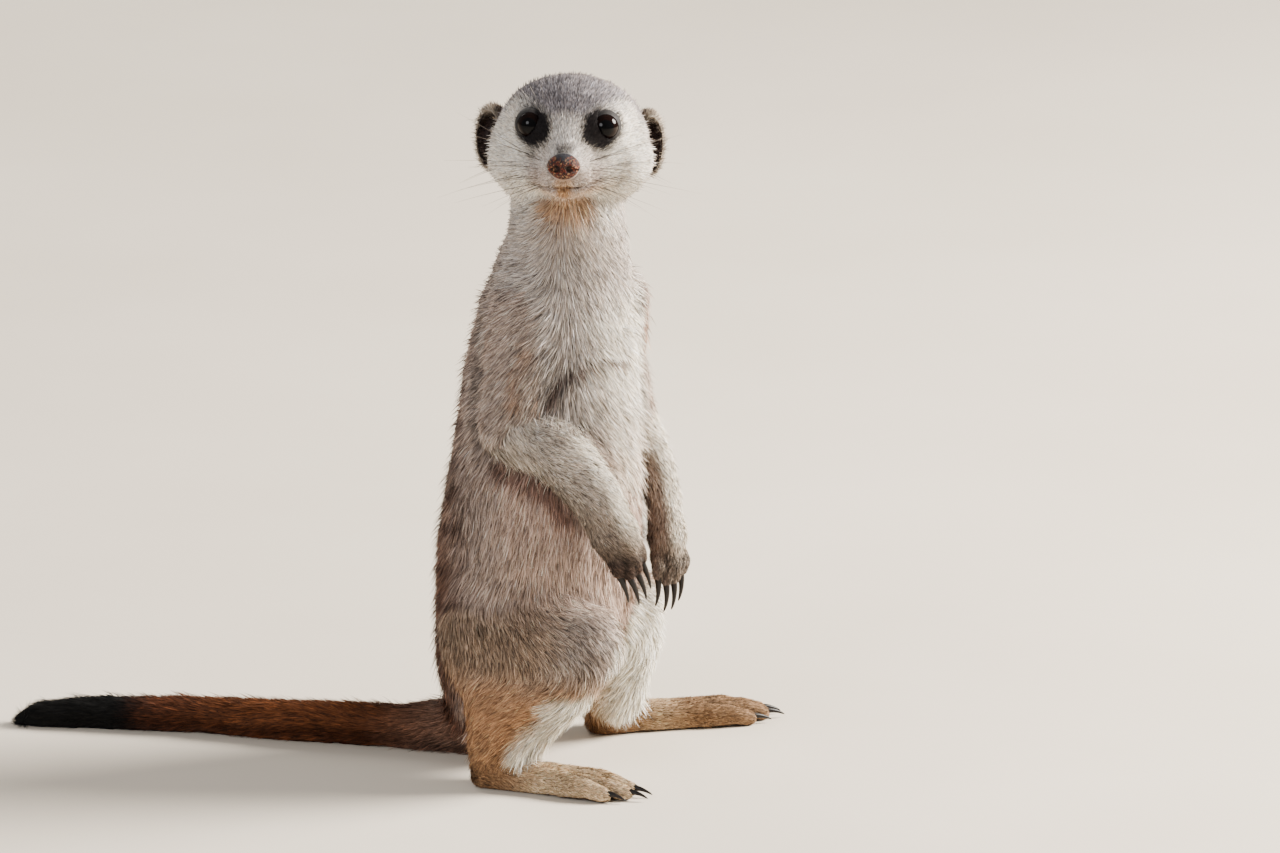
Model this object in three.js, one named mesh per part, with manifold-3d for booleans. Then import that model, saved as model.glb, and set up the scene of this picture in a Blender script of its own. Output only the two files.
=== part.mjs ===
// A meerkat sitting upright on its haunches, life size, in millimetres, +Z up.
// It faces -Y with its head; the body is turned a little towards +X, and the tail lies along -X.
import * as THREE from "three";
import { mergeVertices } from "three/addons/utils/BufferGeometryUtils.js";
import Module from "manifold-3d";

// ---------------------------------------------------------------- sizes
const MOVE = [61.35, 0.16, 0]; // brings the middle of the animal's box, at the floor, to the origin
const GAP = 0.3; // clearance left wherever two pieces meet
const NECK_CUT = 206; // height at which trunk and neck part
const KNEE_CUT = 45; // height at which thigh and shank part
const TAIL_CUTS = [-92, -146]; // x at which the tail's three lengths part

const HEAD = { at: [4.4, -8, 248.2], pitch: 5, yaw: -3.6, roll: 0.8 };
const EYE = { at: [13.85, 13.9, 5.8], radius: 5.6 };
const NOSE = { at: [35.4, 0, -6.6], size: [4.4, 6, 5.1] };
const EAR = {
  right: [-11, -30.2, -3.4],
  left: [-11, 28.6, -4],
  size: [8.6, 6.2, 12.6], // half lengths forwards, sideways, upwards
  hollow: [7.2, 4.6, 10.4],
  splay: 24, // degrees the cup opens outwards from straight ahead
};

// trunk sections: height, centre x, y, half depth from back to belly, half width, heading of the belly from +X towards -Y
const TRUNK = [
  [22, -20, 5, 20, 23, 30],
  [40, -15, 3, 31, 31, 30],
  [60, -11, 1, 38, 34, 33],
  [85, -8, -1, 41.5, 35, 38],
  [110, -6, -2, 40, 34.5, 44],
  [135, -4, -2, 38.5, 33, 50],
  [160, -2.5, -2, 36, 31.5, 54],
  [180, -0.5, -2, 32, 30, 56],
  [198, 1.5, -3, 26, 26, 60],
  [212, 3, -4, 22.5, 22, 70],
  [230, 3, -6, 21.5, 20, 80],
];
const RUMP = { at: [-19, 4, 31], size: [25, 24, 25] };

// limbs as rows of x, y, z, radius; the right side is the one towards -Y
const THIGH = {
  right: [[-21, -12, 55, 24.5], [-4, -28, 57, 22], [9, -37, 56.5, 14.5]],
  left: [[-8, 15, 56, 22], [12, 17, 58, 19], [24.5, 19, 57.5, 13.5]],
};
const SHIN = {
  right: [[9, -37, 56.5, 14.3], [-5, -37, 37, 15], [-18, -36.5, 17, 10.2]],
  left: [[24.5, 19, 57.5, 13.5], [24.5, 26, 37, 13.6], [21, 33, 17, 10.5]],
};
const HAMSTRING = {
  right: [[-23, -21, 44, 17], [-24.5, -34, 17, 9.8]],
  left: [[3, 26, 44, 16], [16.5, 35, 16, 9.4]],
};
const CALF = {
  right: [[-8, -29, 47, 18], [-20.5, -35.5, 21, 11.6]],
  left: [[13, 22, 46, 17], [19.5, 33, 21, 10.8]],
};
const HEEL = { right: [-26.5, -37.5], left: [17, 36] };
const TOE = { right: [28.5, -56], left: [80, 55] };
const UPPER_ARM = {
  right: [[-9, -16, 180, 17], [-12, -22, 158, 15.5], [-17, -27, 140, 13]],
  left: [[19, 7, 179, 16], [19, 9, 157, 14.5], [24, 7, 138, 12]],
};
const FOREARM = {
  right: [[-17, -27, 139.5, 12.8], [0, -37, 132, 12.3], [14, -44, 115.5, 10.4], [21.5, -47.2, 101.5, 9]],
  left: [[24, 7, 137, 11.8], [34.5, 2.5, 119, 9.2], [39.8, -1, 103, 7.3], [41, -4, 90.5, 6.9]],
};
const PALM = {
  right: [[21.5, -47.2, 101.5, 8.4], [25.2, -49, 94, 6.2]],
  left: [[41, -4, 90.5, 6.9], [42, -6.5, 80, 6]],
};
const CLAW_LEAN = { right: [0.11, 0, 0], left: [0.12, 0, 0] };
const BACK_OF_HAND = { right: [0.5, -0.85, 0.05], left: [0.55, -0.8, 0] };
const TAIL = [
  [-28, 8, 12.6, 13.2], [-42, 12, 9.8, 10.6], [-61, 16, 8, 8.8], [-100, 25, 7.6, 8.4],
  [-138, 36, 6.7, 7.5], [-177, 42, 6, 6.8], [-200, 44, 4.8, 5.6], [-205, 44.4, 4.1, 4.8],
];
const FINGERS = [[-1.5, -3], [-0.5, 0], [0.5, 0.5], [1.5, -2]]; // place across the paw, reach beyond the middle ones
const TOES = [[-1.5, -7], [-0.5, 0], [0.5, 0], [1.5, -6]];
const FORE_CLAW = { length: 12.5, radius: 1.6, curl: 46 };
const HIND_CLAW = { length: 7.5, radius: 1.3, curl: 30 };

const COLOURS = {
  coat: [0xb9a48b, 0.92],
  face: [0xcfc6ba, 0.92],
  paw: [0x9a8674, 0.9],
  tail: [0x9b7a55, 0.92],
  dark: [0x2a2320, 0.85],
  claw: [0x1c1613, 0.35],
  leather: [0x4a3026, 0.6],
  eye: [0x0d0b0b, 0.08],
};

// ---------------------------------------------------------------- vectors
const add = (a, b) => a.map((x, i) => x + b[i]);
const sub = (a, b) => a.map((x, i) => x - b[i]);
const mul = (a, s) => a.map((x) => x * s);
const dot = (a, b) => a[0] * b[0] + a[1] * b[1] + a[2] * b[2];
const cross = (a, b) => [a[1] * b[2] - a[2] * b[1], a[2] * b[0] - a[0] * b[2], a[0] * b[1] - a[1] * b[0]];
const len = (a) => Math.hypot(...a);
const unit = (a) => mul(a, 1 / len(a));
const mix = (a, b, t) => a.map((x, i) => x + (b[i] - x) * t);
const rad = (d) => (d * Math.PI) / 180;

// ---------------------------------------------------------------- rounded shapes, as distances
const near = (a, b, k) => {
  const h = Math.min(1, Math.max(0, 0.5 + (0.5 * (b - a)) / k));
  return b + (a - b) * h - k * h * (1 - h);
};
const far = (a, b, k) => -near(-a, -b, k);
const cone = (a, b, ra, rb) => {
  const ab = sub(b, a), l2 = dot(ab, ab);
  return (p) => {
    const ap = sub(p, a), t = Math.min(1, Math.max(0, dot(ap, ab) / l2));
    return len(sub(ap, mul(ab, t))) - (ra + (rb - ra) * t);
  };
};
const ball = (c, r, axes = [[1, 0, 0], [0, 1, 0], [0, 0, 1]]) => (p) => {
  const d = sub(p, c), q = axes.map((a) => dot(d, a));
  const k0 = Math.hypot(q[0] / r[0], q[1] / r[1], q[2] / r[2]);
  const k1 = Math.hypot(q[0] / r[0] ** 2, q[1] / r[1] ** 2, q[2] / r[2] ** 2) + 1e-9;
  return (k0 * (k0 - 1)) / k1;
};
const chain = (rows) => {
  const parts = rows.slice(1).map((r, i) => cone(rows[i].slice(0, 3), r.slice(0, 3), rows[i][3], r[3]));
  return (p) => Math.min(...parts.map((f) => f(p)));
};
const blend = (...steps) => {
  // a shape, then pairs of a radius and the shape it is blended with
  let f = steps[0];
  for (let i = 1; i < steps.length; i += 2) {
    const g = f, k = steps[i], s = steps[i + 1];
    f = (p) => near(g(p), s(p), k);
  }
  return f;
};
// a smooth curve through the rows of a table, keyed by their first number
const curve = (rows, t) => {
  const n = rows.length;
  const slope = (i) => {
    const a = rows[Math.max(0, i - 1)], b = rows[Math.min(n - 1, i + 1)];
    if (i === 0 || i === n - 1) return a.map((x, j) => (b[j] - x) / (b[0] - a[0]));
    const h0 = rows[i][0] - a[0], h1 = b[0] - rows[i][0];
    return a.map((x, j) => (h0 * h0 * b[j] + (h1 * h1 - h0 * h0) * rows[i][j] - h1 * h1 * x) / (h0 * h1 * (h0 + h1)));
  };
  t = Math.min(rows[n - 1][0], Math.max(rows[0][0], t));
  let i = 0;
  while (i < n - 2 && t > rows[i + 1][0]) i++;
  const h = rows[i + 1][0] - rows[i][0], u = (t - rows[i][0]) / h, m0 = slope(i), m1 = slope(i + 1);
  return rows[i].map((x, j) =>
    (2 * u ** 3 - 3 * u * u + 1) * x + (u ** 3 - 2 * u * u + u) * h * m0[j] +
    (3 * u * u - 2 * u ** 3) * rows[i + 1][j] + (u ** 3 - u * u) * h * m1[j]);
};
const trunkShape = (p) => {
  const s = curve(TRUNK, p[2]), a = rad(s[5]);
  const dx = p[0] - s[1], dy = p[1] - s[2];
  const f = dx * Math.cos(a) - dy * Math.sin(a), w = dx * Math.sin(a) + dy * Math.cos(a);
  const k0 = Math.hypot(f / s[3], w / s[4]), k1 = Math.hypot(f / s[3] ** 2, w / s[4] ** 2) + 1e-9;
  return far((k0 * (k0 - 1)) / k1, Math.max(TRUNK[0][0] - p[2], p[2] - TRUNK[TRUNK.length - 1][0]), 16);
};

// ---------------------------------------------------------------- head frame: forwards, sideways (the animal's left), up
const headAxes = (() => {
  const p = rad(HEAD.pitch), w = rad(HEAD.yaw), r = rad(HEAD.roll);
  const f = [Math.sin(w) * Math.cos(p), -Math.cos(w) * Math.cos(p), Math.sin(p)];
  const s = [Math.cos(w), Math.sin(w), 0], u = cross(f, s);
  return [f, sub(mul(s, Math.cos(r)), mul(u, Math.sin(r))), add(mul(u, Math.cos(r)), mul(s, Math.sin(r)))];
})();
const atHead = (f, s, u) => add(HEAD.at, add(mul(headAxes[0], f), add(mul(headAxes[1], s), mul(headAxes[2], u))));
const skull = blend(
  ball(atHead(-6, 0, 1.5), [28, 28, 21], headAxes),
  7, ball(atHead(-3, -16, -10.5), [19, 15, 14], headAxes),
  7, ball(atHead(-3, 16, -10.5), [19, 15, 14], headAxes),
  8, cone(atHead(8, 0, -1), atHead(30.5, 0, -7.8), 16.5, 7.4),
  6, cone(atHead(2, 0, -12), atHead(27, 0, -15.5), 12, 5),
  5, cone(atHead(8, -12, -9), atHead(26, -5, -12), 11.5, 5.6),
  5, cone(atHead(8, 12, -9), atHead(26, 5, -12), 11.5, 5.6),
);

// ---------------------------------------------------------------- skins around an axis
// A closed skin: rings round the points of an axis, each vertex where a ray from the axis leaves the shape.
// Ends are rounded (the axis runs on to the shape's tip) or flat; grow moves the skin outwards.
function skin({ axis, rings, sides, shape, flatStart, flatEnd, aim = [0, 0, 1], reach = 62 }, grow = 0) {
  const leave = (c, d, far, level = grow) => {
    const field = (p) => shape(p) - level;
    let r = far, step = far / 56;
    while (r > 0 && field(add(c, mul(d, r))) > 0) r -= step;
    if (r <= 0) return 0.02;
    let lo = r, hi = r + step;
    for (let i = 0; i < 22; i++) {
      const m = (lo + hi) / 2;
      if (field(add(c, mul(d, m))) > 0) hi = m;
      else lo = m;
    }
    return lo;
  };
  const path = axis.map((a) => a.slice(0, 3));
  const last = path.length - 1;
  const out = (a, b) => { const d = unit(sub(a, b)); return add(a, mul(d, leave(a, d, 40, 0))); };
  if (!flatStart) path.unshift(out(path[0], path[1]));
  if (!flatEnd) path.push(out(path[path.length - 1], path[path.length - 2]));
  const along = [0];
  for (let i = 1; i < path.length; i++) along.push(along[i - 1] + len(sub(path[i], path[i - 1])));
  const total = along[along.length - 1];
  const at = (s) => {
    let i = 1;
    while (i < path.length - 1 && s > along[i]) i++;
    return mix(path[i - 1], path[i], (s - along[i - 1]) / (along[i] - along[i - 1]));
  };
  const soft = Math.max(total / 9, 1e-3);
  const heading = (s) => unit(sub(at(Math.min(total, s + soft)), at(Math.max(0, s - soft))));
  // stations crowd towards a rounded end
  const place = (t) => {
    const a = flatStart ? 0 : 1, b = flatEnd ? 0 : 1;
    const ease = a && b ? 0.5 - 0.5 * Math.cos(Math.PI * t) : a ? 1 - Math.cos((Math.PI / 2) * t) : b ? Math.sin((Math.PI / 2) * t) : t;
    return mix([t], [ease], a || b ? 0.62 : 0)[0];
  };
  const verts = [], faces = [];
  const first = flatStart ? 0 : 1, end = flatEnd ? rings : rings - 1;
  const ends = [sub(at(0), mul(heading(0), flatStart ? 0 : grow)), add(at(total), mul(heading(total), flatEnd ? 0 : grow))];
  const count = end - first + 1;
  for (let i = first; i <= end; i++) {
    const s = place(i / rings) * total, c = at(s), d = heading(s);
    const e1 = unit(cross(Math.abs(dot(d, aim)) > 0.95 ? [1, 0, 0] : aim, d)), e2 = cross(d, e1);
    for (let j = 0; j < sides; j++) {
      const a = (2 * Math.PI * j) / sides, ray = add(mul(e1, Math.cos(a)), mul(e2, Math.sin(a)));
      verts.push(add(c, mul(ray, leave(c, ray, reach))));
    }
  }
  for (let i = 0; i < count - 1; i++)
    for (let j = 0; j < sides; j++) {
      const a = i * sides + j, b = i * sides + ((j + 1) % sides), c = a + sides, d = b + sides;
      if ((i + j) % 2) faces.push(a, b, d, a, d, c);
      else faces.push(a, b, c, b, d, c);
    }
  const s0 = verts.push(ends[0]) - 1, s1 = verts.push(ends[1]) - 1, top = (count - 1) * sides;
  for (let j = 0; j < sides; j++) {
    faces.push(s0, (j + 1) % sides, j);
    faces.push(s1, top + j, top + ((j + 1) % sides));
  }
  return { verts, faces };
}

// ---------------------------------------------------------------- solids
const wasm = await Module();
wasm.setup();
const toSolid = ({ verts, faces }) =>
  new wasm.Manifold(new wasm.Mesh({ numProp: 3, vertProperties: new Float32Array(verts.flat()), triVerts: new Uint32Array(faces) }));
function fromGeometry(geometry, matrix) {
  for (const name of Object.keys(geometry.attributes)) if (name !== "position") geometry.deleteAttribute(name);
  geometry.applyMatrix4(matrix);
  const g = mergeVertices(geometry, 1e-4);
  return new wasm.Manifold(new wasm.Mesh({ numProp: 3, vertProperties: new Float32Array(g.attributes.position.array), triVerts: new Uint32Array(g.index.array) }));
}
const frameMatrix = (axes, at) => new THREE.Matrix4().makeBasis(...axes.map((a) => new THREE.Vector3(...a))).setPosition(...at);
const oval = (at, size, axes, w = 12, h = 8) =>
  fromGeometry(new THREE.SphereGeometry(1, w, h), frameMatrix(axes, at).scale(new THREE.Vector3(...size)));
const block = (lo, hi) => fromGeometry(new THREE.BoxGeometry(...sub(hi, lo)), new THREE.Matrix4().makeTranslation(...mix(lo, hi, 0.5)));
const ground = block([-400, -400, -100], [400, 400, 0]);
const aboveNeckCut = block([-200, -200, NECK_CUT - GAP / 2], [200, 200, 400]);
const belowNeckCut = block([-200, -200, -100], [200, 200, NECK_CUT + GAP / 2]);
const aboveKneeCut = block([-200, -200, KNEE_CUT - GAP / 2], [200, 200, 400]);
const belowKneeCut = block([-200, -200, -100], [200, 200, KNEE_CUT + GAP / 2]);
const beyond = (x) => block([-400, -200, -100], [x, 200, 200]);
const before = (x) => block([x, -200, -100], [200, 200, 200]);
const largest = (m) => m.decompose().reduce((a, b) => (a.volume() > b.volume() ? a : b));

const solids = new Map(), cutters = new Map(), looks = new Map();
function keep(name, made, cutter, look, cutBy = [], onFloor = false) {
  for (const c of cutBy) made = made.subtract(typeof c === "string" ? cutters.get(c) : c);
  if (onFloor) made = made.subtract(ground);
  solids.set(name, largest(made));
  if (cutter) cutters.set(name, cutter);
  looks.set(name, look);
}
const lofted = (name, spec, look, cutBy, onFloor) =>
  keep(name, toSolid(skin(spec)), toSolid(skin(spec, spec.clear ?? GAP)), look, cutBy, onFloor);

// body
const bodyShape = blend(trunkShape, 14, ball(RUMP.at, RUMP.size));
lofted("trunk", {
  axis: [[-19, 4, 24], [-13, 2, 50], [-8, -1, 85], [-4, -2, 135], [-1, -2, 175], [2.4, -3.4, NECK_CUT + 6]],
  rings: 20, sides: 24, shape: bodyShape, flatEnd: true, aim: [0, -1, 0],
}, "coat", [aboveNeckCut], true);
// head and what is set into it
for (const [side, s] of [["right", -1], ["left", 1]]) {
  const c = atHead(EYE.at[0], s * EYE.at[1], EYE.at[2]);
  keep("eye_" + side, oval(c, [EYE.radius, EYE.radius, EYE.radius], headAxes, 12, 8),
    oval(c, [EYE.radius + GAP, EYE.radius + GAP, EYE.radius + GAP], headAxes, 12, 8), "eye");
}
keep("nose", oval(atHead(...NOSE.at), NOSE.size, headAxes), oval(atHead(...NOSE.at), NOSE.size.map((x) => x + GAP), headAxes), "leather");
lofted("head", {
  axis: [atHead(-26, 0, -2), atHead(-4, 0, -4), atHead(14, 0, -6), atHead(31, 0, -9)],
  rings: 18, sides: 20, shape: skull, aim: headAxes[2], reach: 48,
}, "face", ["eye_right", "eye_left", "nose"]);
lofted("neck", {
  axis: [[2.2, -3.2, NECK_CUT - 6], [3, -5.5, 222], [3.2, -6, 236]],
  rings: 4, sides: 16, flatStart: true, flatEnd: true, aim: [0, -1, 0], reach: 50,
  shape: blend((p) => { const q = [p[0], p[1], Math.min(p[2], 222)]; return trunkShape(q); }, 4, cone([3, -5, 214], atHead(-9, 0, -8), 20.5, 20)),
}, "face", ["head", belowNeckCut]);
// ears: cups opening forwards and outwards
for (const [side, s] of [["right", -1], ["left", 1]]) {
  const a = rad(EAR.splay), [f, l, u] = headAxes;
  const open = add(mul(f, Math.cos(a)), mul(l, s * Math.sin(a))), across = cross(u, open);
  const c = atHead(...EAR[side]);
  const cup = oval(c, EAR.size, [open, across, u], 12, 9).subtract(oval(add(c, mul(open, 4.6)), EAR.hollow, [open, across, u], 10, 7));
  keep("ear_" + side, cup, null, "dark", ["head"]);
}
// hind legs, feet, toes, claws
const clawSpec = (base, toward, down, { length, radius, curl }) => {
  const rows = [];
  for (let i = 0; i <= 4; i++) {
    const t = i / 4, a = rad(curl) * t;
    const d = add(mul(toward, Math.sin(a + 1e-6) / rad(curl)), mul(down, (1 - Math.cos(a)) / rad(curl)));
    rows.push([...add(base, mul(d, length)), radius * (1 - 0.8 * t)]);
  }
  return { axis: rows, rings: 4, sides: 5, shape: chain(rows), reach: 5, aim: [0.3, 0.8, 0.5] };
};
for (const side of ["right", "left"]) {
  const leg = blend(chain(THIGH[side]), 10, chain(HAMSTRING[side]), 8, chain(CALF[side]), 8, chain(SHIN[side]));
  const hip = THIGH[side][0].slice(0, 3), knee = THIGH[side][2].slice(0, 3), low = mix(HAMSTRING[side][1], SHIN[side][2], 0.5).slice(0, 3);
  const spec0 = { axis: [add(mix(hip, knee, 0.5), [0, 0, 8]), low], rings: 12, sides: 18, shape: leg };
  const whole = toSolid(skin(spec0)), wide = toSolid(skin(spec0, GAP));
  keep("thigh_" + side, whole, wide, "coat", ["trunk", belowKneeCut]);
  keep("shank_" + side, whole, wide, "coat", ["trunk", aboveKneeCut]);
  const h = [...HEEL[side], 0], t = [...TOE[side], 0], d = unit(sub(t, h)), l = len(sub(t, h)), across = [-d[1], d[0], 0];
  const lift = (o, reach, z) => add(add(h, add(mul(d, reach), mul(across, o))), [0, 0, z]);
  const sole = [-1, 1].map((o) => chain([[...lift(o * 1.2, 0, 5.8), 6.8], [...lift(o * 3.2, 20, 4.7), 5.7], [...lift(o * 4.8, l - 20, 4), 5]]));
  const middle = [lift(0, 0, 5.8), lift(0, 20, 4.7), lift(0, l - 20, 4)];
  let spec = { axis: middle, rings: 8, sides: 10, shape: blend(sole[0], 5, sole[1]), reach: 30 };
  let foot = toSolid(skin(spec)), footCutter = toSolid(skin(spec, GAP));
  const claws = [];
  TOES.forEach(([o, reach], i) => {
    const rows = [
      [...lift(o * 4.4, l - 22 + reach / 2, 4.1), 4.3],
      [...lift(o * 5.1, l - 10 + reach, 4.5), 3.9],
      [...lift(o * 5.4, l - 3 + reach, 2.8), 3.3],
    ];
    spec = { axis: rows, rings: 5, sides: 6, shape: chain(rows), reach: 12 };
    foot = foot.add(toSolid(skin(spec)));
    footCutter = footCutter.add(toSolid(skin(spec, GAP)));
    claws.push(["claw_hind_" + side + "_" + (i + 1), clawSpec(add(rows[2].slice(0, 3), add(mul(d, 2.4), [0, 0, 0.6])), unit(add(d, [0, 0, -0.02])), [0, 0, -1], HIND_CLAW)]);
  });
  keep("foot_" + side, foot, footCutter, "coat", ["shank_" + side, "trunk"], true);
  for (const [name, s] of claws) keep(name, toSolid(skin(s)), null, "claw", ["foot_" + side], true);
}
// arms, forepaws, fingers, claws
for (const side of ["right", "left"]) {
  lofted("forearm_" + side, { axis: FOREARM[side], rings: 12, sides: 14, shape: chain(FOREARM[side]) }, "coat", ["trunk"]);
  lofted("upper_arm_" + side, { axis: UPPER_ARM[side], rings: 9, sides: 16, shape: chain(UPPER_ARM[side]) }, "coat", ["trunk", "forearm_" + side]);
  const w = PALM[side][0].slice(0, 3), k = PALM[side][1].slice(0, 3), d = unit(sub(k, w));
  const across = unit(cross(d, unit(BACK_OF_HAND[side]))), palm = cross(d, across);
  let spec = { axis: PALM[side], rings: 6, sides: 12, shape: chain(PALM[side]), reach: 20 };
  let paw = toSolid(skin(spec)), pawCutter = toSolid(skin(spec, GAP));
  const claws = [];
  FINGERS.forEach(([o, reach], i) => {
    const a = add(sub(k, mul(d, 2)), mul(across, o * 3.2));
    const b = sub(add(add(a, mul(d, 5.2 + reach)), mul(across, o * 0.4)), palm);
    const point = unit(add(d, mul(palm, 0.45))), c = add(b, mul(point, 3.4));
    const rows = [[...a, 3.7], [...b, 3.3], [...c, 2.8]];
    spec = { axis: rows, rings: 5, sides: 6, shape: chain(rows), reach: 10 };
    paw = paw.add(toSolid(skin(spec)));
    pawCutter = pawCutter.add(toSolid(skin(spec, GAP)));
    claws.push(["claw_fore_" + side + "_" + (i + 1), clawSpec(add(c, mul(point, 1.6)), unit(add(add(d, mul(palm, 0.1)), CLAW_LEAN[side])), palm, FORE_CLAW)]);
  });
  keep("forepaw_" + side, paw, pawCutter, "paw", ["forearm_" + side], false);
  for (const [name, s] of claws) keep(name, toSolid(skin(s)), null, "claw", ["forepaw_" + side]);
}
// tail, in three lengths
const tailAt = (x) => curve(TAIL.map((r) => [-r[0], ...r.slice(1)]).sort((a, b) => a[0] - b[0]), -x);
const tailPoint = (x) => { const r = tailAt(x); return [x, r[1], r[2]]; };
const tailSpan = (from, to, n, extra) => ({
  axis: Array.from({ length: n + 1 }, (_, i) => tailPoint(from + ((to - from) * i) / n)), rings: n + (extra ?? 0), sides: 10, shape: chain(TAIL), reach: 20,
});
const [CUT1, CUT2] = TAIL_CUTS;
lofted("tail_base", { ...tailSpan(-28, CUT1 - 4, 7, 1), flatEnd: true }, "tail", ["trunk", "thigh_right", "shank_right", beyond(CUT1 + GAP / 2)], true);
lofted("tail_middle", { ...tailSpan(CUT1 + 4, CUT2 - 4, 6), flatStart: true, flatEnd: true }, "tail", [before(CUT1 - GAP / 2), beyond(CUT2 + GAP / 2)], true);
lofted("tail_tip", { ...tailSpan(CUT2 + 4, -203, 6, 2), flatStart: true }, "dark", [before(CUT2 - GAP / 2)], true);

// ---------------------------------------------------------------- meshes
const meerkat = new THREE.Group();
meerkat.name = "meerkat";
for (const [name, solid] of solids) {
  const m = solid.getMesh(), n = m.numProp, v = new Float32Array(m.numVert * 3);
  for (let i = 0; i < m.numVert; i++) for (let j = 0; j < 3; j++) v[3 * i + j] = m.vertProperties[n * i + j] + MOVE[j];
  const g = new THREE.BufferGeometry().setAttribute("position", new THREE.BufferAttribute(v, 3)).setIndex(new THREE.BufferAttribute(new Uint32Array(m.triVerts), 1));
  g.computeVertexNormals();
  const [colour, roughness] = COLOURS[looks.get(name)];
  const mesh = new THREE.Mesh(g, new THREE.MeshStandardMaterial({ color: colour, roughness, metalness: 0 }));
  mesh.name = name;
  meerkat.add(mesh);
}
export default meerkat;
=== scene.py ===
"""A meerkat sitting upright, life size: one skin, a coat of fine tufts, lids, eyes, nose, claws and whiskers."""
import math
import bpy
import numpy as np
from mathutils import Matrix, Vector


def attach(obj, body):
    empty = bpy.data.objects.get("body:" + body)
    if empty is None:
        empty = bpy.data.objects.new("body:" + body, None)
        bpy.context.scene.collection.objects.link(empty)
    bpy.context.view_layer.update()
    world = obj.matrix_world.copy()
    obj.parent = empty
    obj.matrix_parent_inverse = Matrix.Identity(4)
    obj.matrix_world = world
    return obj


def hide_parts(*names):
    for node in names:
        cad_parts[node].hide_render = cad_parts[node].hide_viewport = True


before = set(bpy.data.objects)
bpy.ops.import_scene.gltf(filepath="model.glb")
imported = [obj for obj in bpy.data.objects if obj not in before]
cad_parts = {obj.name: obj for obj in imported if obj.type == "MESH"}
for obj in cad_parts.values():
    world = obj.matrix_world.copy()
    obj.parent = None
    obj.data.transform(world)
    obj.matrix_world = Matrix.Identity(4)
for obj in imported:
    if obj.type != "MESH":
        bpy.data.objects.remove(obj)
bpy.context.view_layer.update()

rng = np.random.default_rng(11)
MM = 0.001
MOVE = np.array([61.35, 0.16, 0.0])  # from the tables' millimetres to the part's frame
CORNERS = np.array(list(np.ndindex(2, 2, 2)))  # of a cell


# ---------------------------------------------------------------- small maths
def vec(*v):
    return np.array(v, float)


def norm(v):
    return np.linalg.norm(v, axis=-1)


def unit(v):
    v = np.asarray(v, float)
    return v / (norm(v)[..., None] + 1e-12)


def smooth(a, b, x):
    t = np.clip((x - a) / (b - a), 0, 1)
    return t * t * (3 - 2 * t)


def smooth_min(a, b, k):
    h = np.clip(0.5 + 0.5 * (b - a) / k, 0, 1)
    return b + (a - b) * h - k * h * (1 - h)


def smooth_max(a, b, k):
    return -smooth_min(-a, -b, k)


def linear(code):
    c = np.array([int(code[i : i + 2], 16) for i in (0, 2, 4)]) / 255
    return np.where(c <= 0.04045, c / 12.92, ((c + 0.055) / 1.055) ** 2.4)


def lattice(i, seed):
    """A repeatable random number in 0..1 for each whole-number point."""
    i = i.astype(np.int64)
    h = (i[..., 0] * 73856093) ^ (i[..., 1] * 19349663) ^ (i[..., 2] * 83492791) ^ (seed * 2654435761)
    h = (h ^ (h >> 13)) * 1274126177 & 0xFFFFFFFF
    h = (h ^ (h >> 16)) * 2246822519 & 0xFFFFFFFF
    return ((h ^ (h >> 15)) & 0xFFFFFF) / float(0xFFFFFF)


def noise(p, seed=0):
    """Smooth value noise in -1..1."""
    i = np.floor(p)
    f = p - i
    f = f * f * (3 - 2 * f)
    out = 0
    for corner in CORNERS:
        w = np.where(corner, f, 1 - f)
        out = out + w[..., 0] * w[..., 1] * w[..., 2] * lattice(i + corner, seed)
    return out * 2 - 1


# ---------------------------------------------------------------- the animal's tables, as in the solids
HEAD, PITCH, YAW, ROLL = vec(4.4, -8, 248.2), math.radians(5), math.radians(-3.6), math.radians(0.8)
EYE, EYE_R = [13.85, 13.9, 5.8], 5.6
NOSE, NOSE_SIZE = vec(35.4, 0, -6.6), vec(4.4, 6, 5.1)
EARS = {-1: vec(-11, -30.2, -3.4), 1: vec(-11, 28.6, -4)}
EAR_SIZE, EAR_HOLLOW, EAR_SPLAY = vec(8.6, 6.2, 12.6), vec(7.2, 4.6, 10.4), math.radians(24)
TRUNK = [
    [22, -20, 5, 20, 23, 30], [40, -15, 3, 31, 31, 30], [60, -11, 1, 38, 34, 33], [85, -8, -1, 41.5, 35, 38],
    [110, -6, -2, 40, 34.5, 44], [135, -4, -2, 38.5, 33, 50], [160, -2.5, -2, 36, 31.5, 54],
    [180, -0.5, -2, 32, 30, 56], [198, 1.5, -3, 26, 26, 60], [212, 3, -4, 22.5, 22, 70],
    [230, 3, -6, 21.5, 20, 80],
]
THIGH = {
    "right": [[-21, -12, 55, 24.5], [-4, -28, 57, 22], [9, -37, 56.5, 14.5]],
    "left": [[-8, 15, 56, 22], [12, 17, 58, 19], [24.5, 19, 57.5, 13.5]],
}
SHIN = {
    "right": [[9, -37, 56.5, 14.3], [-5, -37, 37, 15], [-18, -36.5, 17, 10.2]],
    "left": [[24.5, 19, 57.5, 13.5], [24.5, 26, 37, 13.6], [21, 33, 17, 10.5]],
}
HAMSTRING = {
    "right": [[-23, -21, 44, 17], [-24.5, -34, 17, 9.8]],
    "left": [[3, 26, 44, 16], [16.5, 35, 16, 9.4]],
}
CALF = {
    "right": [[-8, -29, 47, 18], [-20.5, -35.5, 21, 11.6]],
    "left": [[13, 22, 46, 17], [19.5, 33, 21, 10.8]],
}
HEEL, TOE = {"right": [-26.5, -37.5], "left": [17, 36]}, {"right": [28.5, -56], "left": [80, 55]}
UPPER_ARM = {
    "right": [[-9, -16, 180, 17], [-12, -22, 158, 15.5], [-17, -27, 140, 13]],
    "left": [[19, 7, 179, 16], [19, 9, 157, 14.5], [24, 7, 138, 12]],
}
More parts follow.
